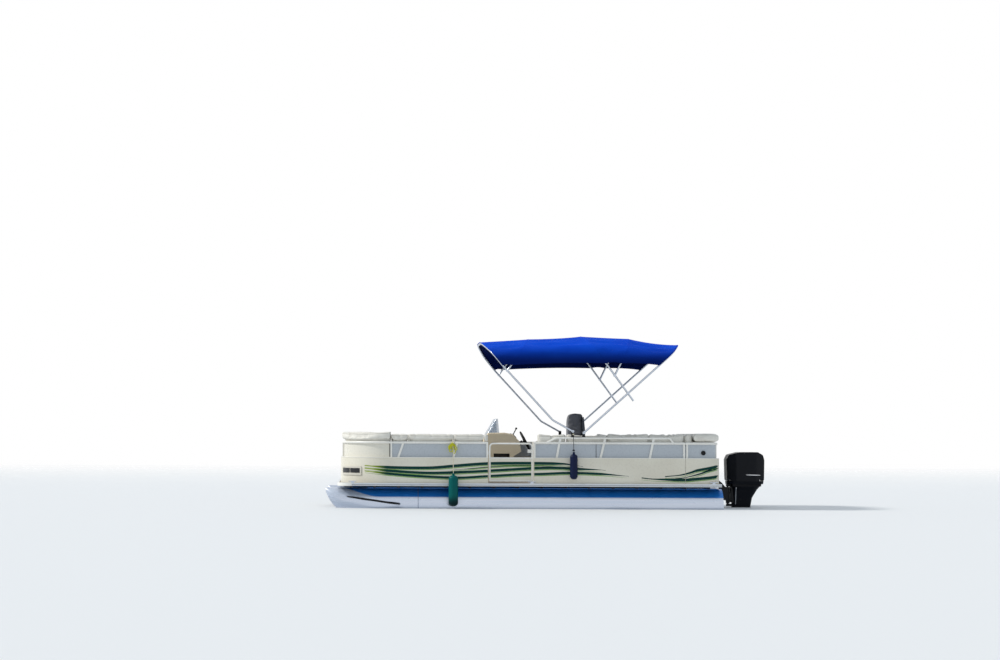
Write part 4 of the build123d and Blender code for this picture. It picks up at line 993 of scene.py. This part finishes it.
# Stripes along the fence
def on_fence(x, z, proud, side):
    """The point on the lower panels at a station and height, round the corners too."""
    bow_x = fence_bow_x - fence_bow_radius
    stern_x = fence_stern_x + fence_stern_radius
    bow_turn = np.arcsin(np.clip((x - bow_x) / fence_bow_radius, 0, 0.99))
    stern_turn = np.arcsin(np.clip((stern_x - x) / fence_stern_radius, 0, 0.99))
    bow_y = fence_half_width - fence_bow_radius + (fence_bow_radius + proud) * np.cos(bow_turn)
    stern_y = fence_half_width - fence_stern_radius + (fence_stern_radius + proud) * np.cos(stern_turn)
    y = np.where(x > bow_x, bow_y, np.where(x < stern_x, stern_y, fence_half_width + proud))
    x = np.where(x > bow_x, bow_x + (fence_bow_radius + proud) * np.sin(bow_turn), x)
    x = np.where(x < stern_x, stern_x - (fence_stern_radius + proud) * np.sin(stern_turn), x)
    return np.stack([x, side * y, z], axis=-1)


def on_gate(x, z, proud, side):
    """The point on the side gate's flat skin."""
    return np.stack([x, np.full_like(x, side * (gate_skin_y + proud)), z], axis=-1)


def stripe(name, points, width, spans, place, side, finish, tips):
    """A painted band that runs smoothly through the points and narrows to its two tips."""
    points = np.asarray(points, float)
    line = smooth_path(np.column_stack([points, np.zeros(len(points))]), 400)
    high, low = points[0, 0], points[-1, 0]
    made = []
    for start, end in spans:
        start, end = min(start, high), max(end, low)
        if start <= end:
            continue
        x = np.linspace(start, end, max(4, int((start - end) / 0.02)))
        z = np.interp(-x, -line[:, 0], line[:, 1])
        taper = np.clip((high - x) / tips[0], 0.35, 1) * np.clip((x - low) / tips[1], 0.12, 1)
        half = width / 2 * taper
        grid = np.stack([place(x, z + half * k, stripe_proud, side) for k in (1, 0, -1)], axis=1)
        piece = grid_piece(name, grid, finish)
        if side < 0:
            piece.data.flip_normals()
        made.append(piece)
    return made


# width, and points (x, z) from the bow aft
stripe_table = {
    "top": (0.048, [
        (2.75, 0.708), (2.50, 0.690), (2.25, 0.677), (1.667, 0.675), (1.255, 0.708), (0.75, 0.747),
        (0.167, 0.757), (-0.48, 0.752), (-0.662, 0.738), (-0.883, 0.705),
    ]),
    "middle": (0.044, [
        (2.75, 0.663), (2.25, 0.617), (1.667, 0.590), (1.093, 0.608), (0.75, 0.625), (-0.212, 0.680),
        (-0.662, 0.675), (-0.80, 0.667), (-1.167, 0.652), (-1.26, 0.640),
    ]),
    "bottom": (0.040, [
        (2.75, 0.617), (2.167, 0.558), (1.667, 0.527), (1.167, 0.513), (0.75, 0.537), (0.167, 0.570),
        (-0.2, 0.580), (-0.662, 0.598), (-1.167, 0.585), (-1.65, 0.547),
    ]),
    "fine": (0.014, [
        (1.30, 0.640), (0.95, 0.668), (0.60, 0.700), (0.20, 0.715), (-0.20, 0.712), (-0.50, 0.700),
    ]),
    "swoosh_low": (0.048, [
        (-1.86, 0.522), (-2.05, 0.503), (-2.547, 0.490), (-2.758, 0.505), (-3.077, 0.540), (-3.16, 0.580),
    ]),
    "swoosh_mid": (0.036, [
        (-2.42, 0.512), (-2.583, 0.530), (-2.83, 0.592), (-2.967, 0.643), (-3.16, 0.692),
    ]),
    "swoosh_high": (0.044, [
        (-2.25, 0.545), (-2.50, 0.570), (-2.673, 0.612), (-2.78, 0.648), (-2.972, 0.685), (-3.16, 0.728),
    ]),
}
hull_spans = {1: [(3.0, 0.697), (-0.072, -2.586), (-2.594, -3.168)], -1: [(3.0, -2.586), (-2.594, -3.168)]}
gate_spans = [(0.650, -0.025)]
edge_gap, edge_width, stripe_proud = 0.009, 0.012, 0.0007


def striped(title, names, spans, place, side):
    """The dark bands, and the light edges that run under them."""
    dark = []
    light = []
    for name in names:
        width, points = stripe_table[name]
        tips = (0.55, 0.06) if name.startswith("swoosh") else (0.35, 0.5)
        under = [(x, z - width * 0.5 - edge_gap) for x, z in points]
        dark += stripe(f"{title}_{name}", points, width, spans, place, side, stripe_dark, tips)
        light += stripe(f"{title}_{name}_edge", under, edge_width, spans, place, side, stripe_light, tips)
    return dark, light


for side, side_name in ((1, "port"), (-1, "starboard")):
    dark, light = striped(side_name, stripe_table, hull_spans[side], on_fence, side)
    bands = joined(f"{side_name}_stripes", dark)
    edges = joined(f"{side_name}_stripe_edges", light)
    for piece in (bands, edges):
        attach(piece, "hull")
dark, light = striped("gate", ("top", "middle", "bottom", "fine"), gate_spans, on_gate, 1)
gate_stripes = joined("gate_stripes", dark + light)
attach(gate_stripes, "side_gate")

# Upright joints between the upper panels, and caps over the rub rail's bow corners
joint_y, joint_z = (1.203, 1.201), (0.852, 1.075)


def upright_joint(name, x, width, side):
    """A dark strip over the upper panels' height: a closed box 2 mm deep."""
    joint_x = (x - width / 2, x + width / 2)
    corners = [(a, side * b, c) for c in joint_z for b in joint_y for a in joint_x]
    faces = [(0, 1, 3, 2), (4, 6, 7, 5), (0, 4, 5, 1), (2, 3, 7, 6), (0, 2, 6, 4), (1, 5, 7, 3)]
    return outward(mesh_piece(name, corners, faces, black_plastic, smooth=False))


def corner_cap(name, side):
    """A section carried round the deck's bow corner, 3 mm proud of the rub rail."""
    turn = np.linspace(math.radians(-4), math.radians(94), 37)
    # how far out from the rail's face and how far above its top
    section = [
        (-0.024, 0.0035), (0.002, 0.0035), (0.003, 0.002), (0.003, -0.051), (0.001, -0.053),
        (-0.004, -0.053), (-0.004, 0.001), (-0.024, 0.001),
    ]
    rings = []
    for out, rise in section:
        reach = deck_corner_radius + out
        x = deck_bow_x - deck_corner_radius + reach * np.sin(turn)
        y = side * (deck_half_width - deck_corner_radius + reach * np.cos(turn))
        rings.append(np.stack([x, y, np.full_like(x, rub_rail_top + rise)], axis=1))
    made = grid_piece(name, np.stack(rings, axis=1), frame_paint, wrap_columns=True, smooth=False)
    return outward(made, ends_open=True)


joints_made = []
for side in (1, -1):
    joints_made.append(upright_joint(f"corner_joint_{side}", 2.322, 0.030, side))
    joints_made.append(upright_joint(f"panel_joint_{side}", -1.108, 0.008, side))
panel_joints = joined("panel_joints", joints_made)
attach(panel_joints, "hull")
caps = joined("rub_rail_corner_caps", [corner_cap(f"cap_{side}", side) for side in (1, -1)])
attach(caps, "hull")

# Floor, at the waterline, and light
floor_paint = Finish("pale_floor", (231.11, 232.39, 233.65), roughness=0.7)
# far behind the boat the floor fades into the background
floor_paint.set("Alpha", floor_paint.ease(floor_paint.axes()[1], -60.0, -9.0))
floor_corners = [(-90, -160, 0), (90, -160, 0), (90, 60, 0), (-90, 60, 0)]
floor = mesh_piece("floor", floor_corners, [(0, 1, 2, 3)], floor_paint, smooth=False)

world = bpy.data.worlds.new("studio")
bpy.context.scene.world = world
world.use_nodes = True
tree = world.node_tree
# white where it is seen, pale blue light elsewhere
rays = tree.nodes.new("ShaderNodeLightPath")
ways = [Value(tree, rays.outputs[f"Is {way} Ray"]) for way in ("Camera", "Glossy", "Transmission")]
seen = ways[0].largest(ways[1]).largest(ways[2])
sky = tree.nodes["Background"]
plain = tree.nodes.new("ShaderNodeBackground")
for node, colour, strength in ((sky, (0.80, 0.90, 1.0, 1.0), 0.62), (plain, (1.0, 1.0, 1.0, 1.0), 1.0)):
    node.inputs["Color"].default_value = colour
    node.inputs["Strength"].default_value = strength
choose = tree.nodes.new("ShaderNodeMixShader")
plug(tree, choose.inputs[0], seen)
tree.links.new(sky.outputs[0], choose.inputs[1])
tree.links.new(plain.outputs[0], choose.inputs[2])
tree.links.new(choose.outputs[0], tree.nodes["World Output"].inputs["Surface"])

# the sun, whose light travels aft and down
sun = in_scene("key", bpy.data.lights.new("key", "SUN"))
sun.data.energy = 2.3
sun.data.color = (1.0, 0.97, 0.92)
sun.data.angle = 0.12
sun.rotation_mode = "QUATERNION"
sun.rotation_quaternion = Vector((-0.74, 0.02, -0.60)).to_track_quat("-Z", "Y")
bpy.context.scene.view_settings.view_transform = "Standard"
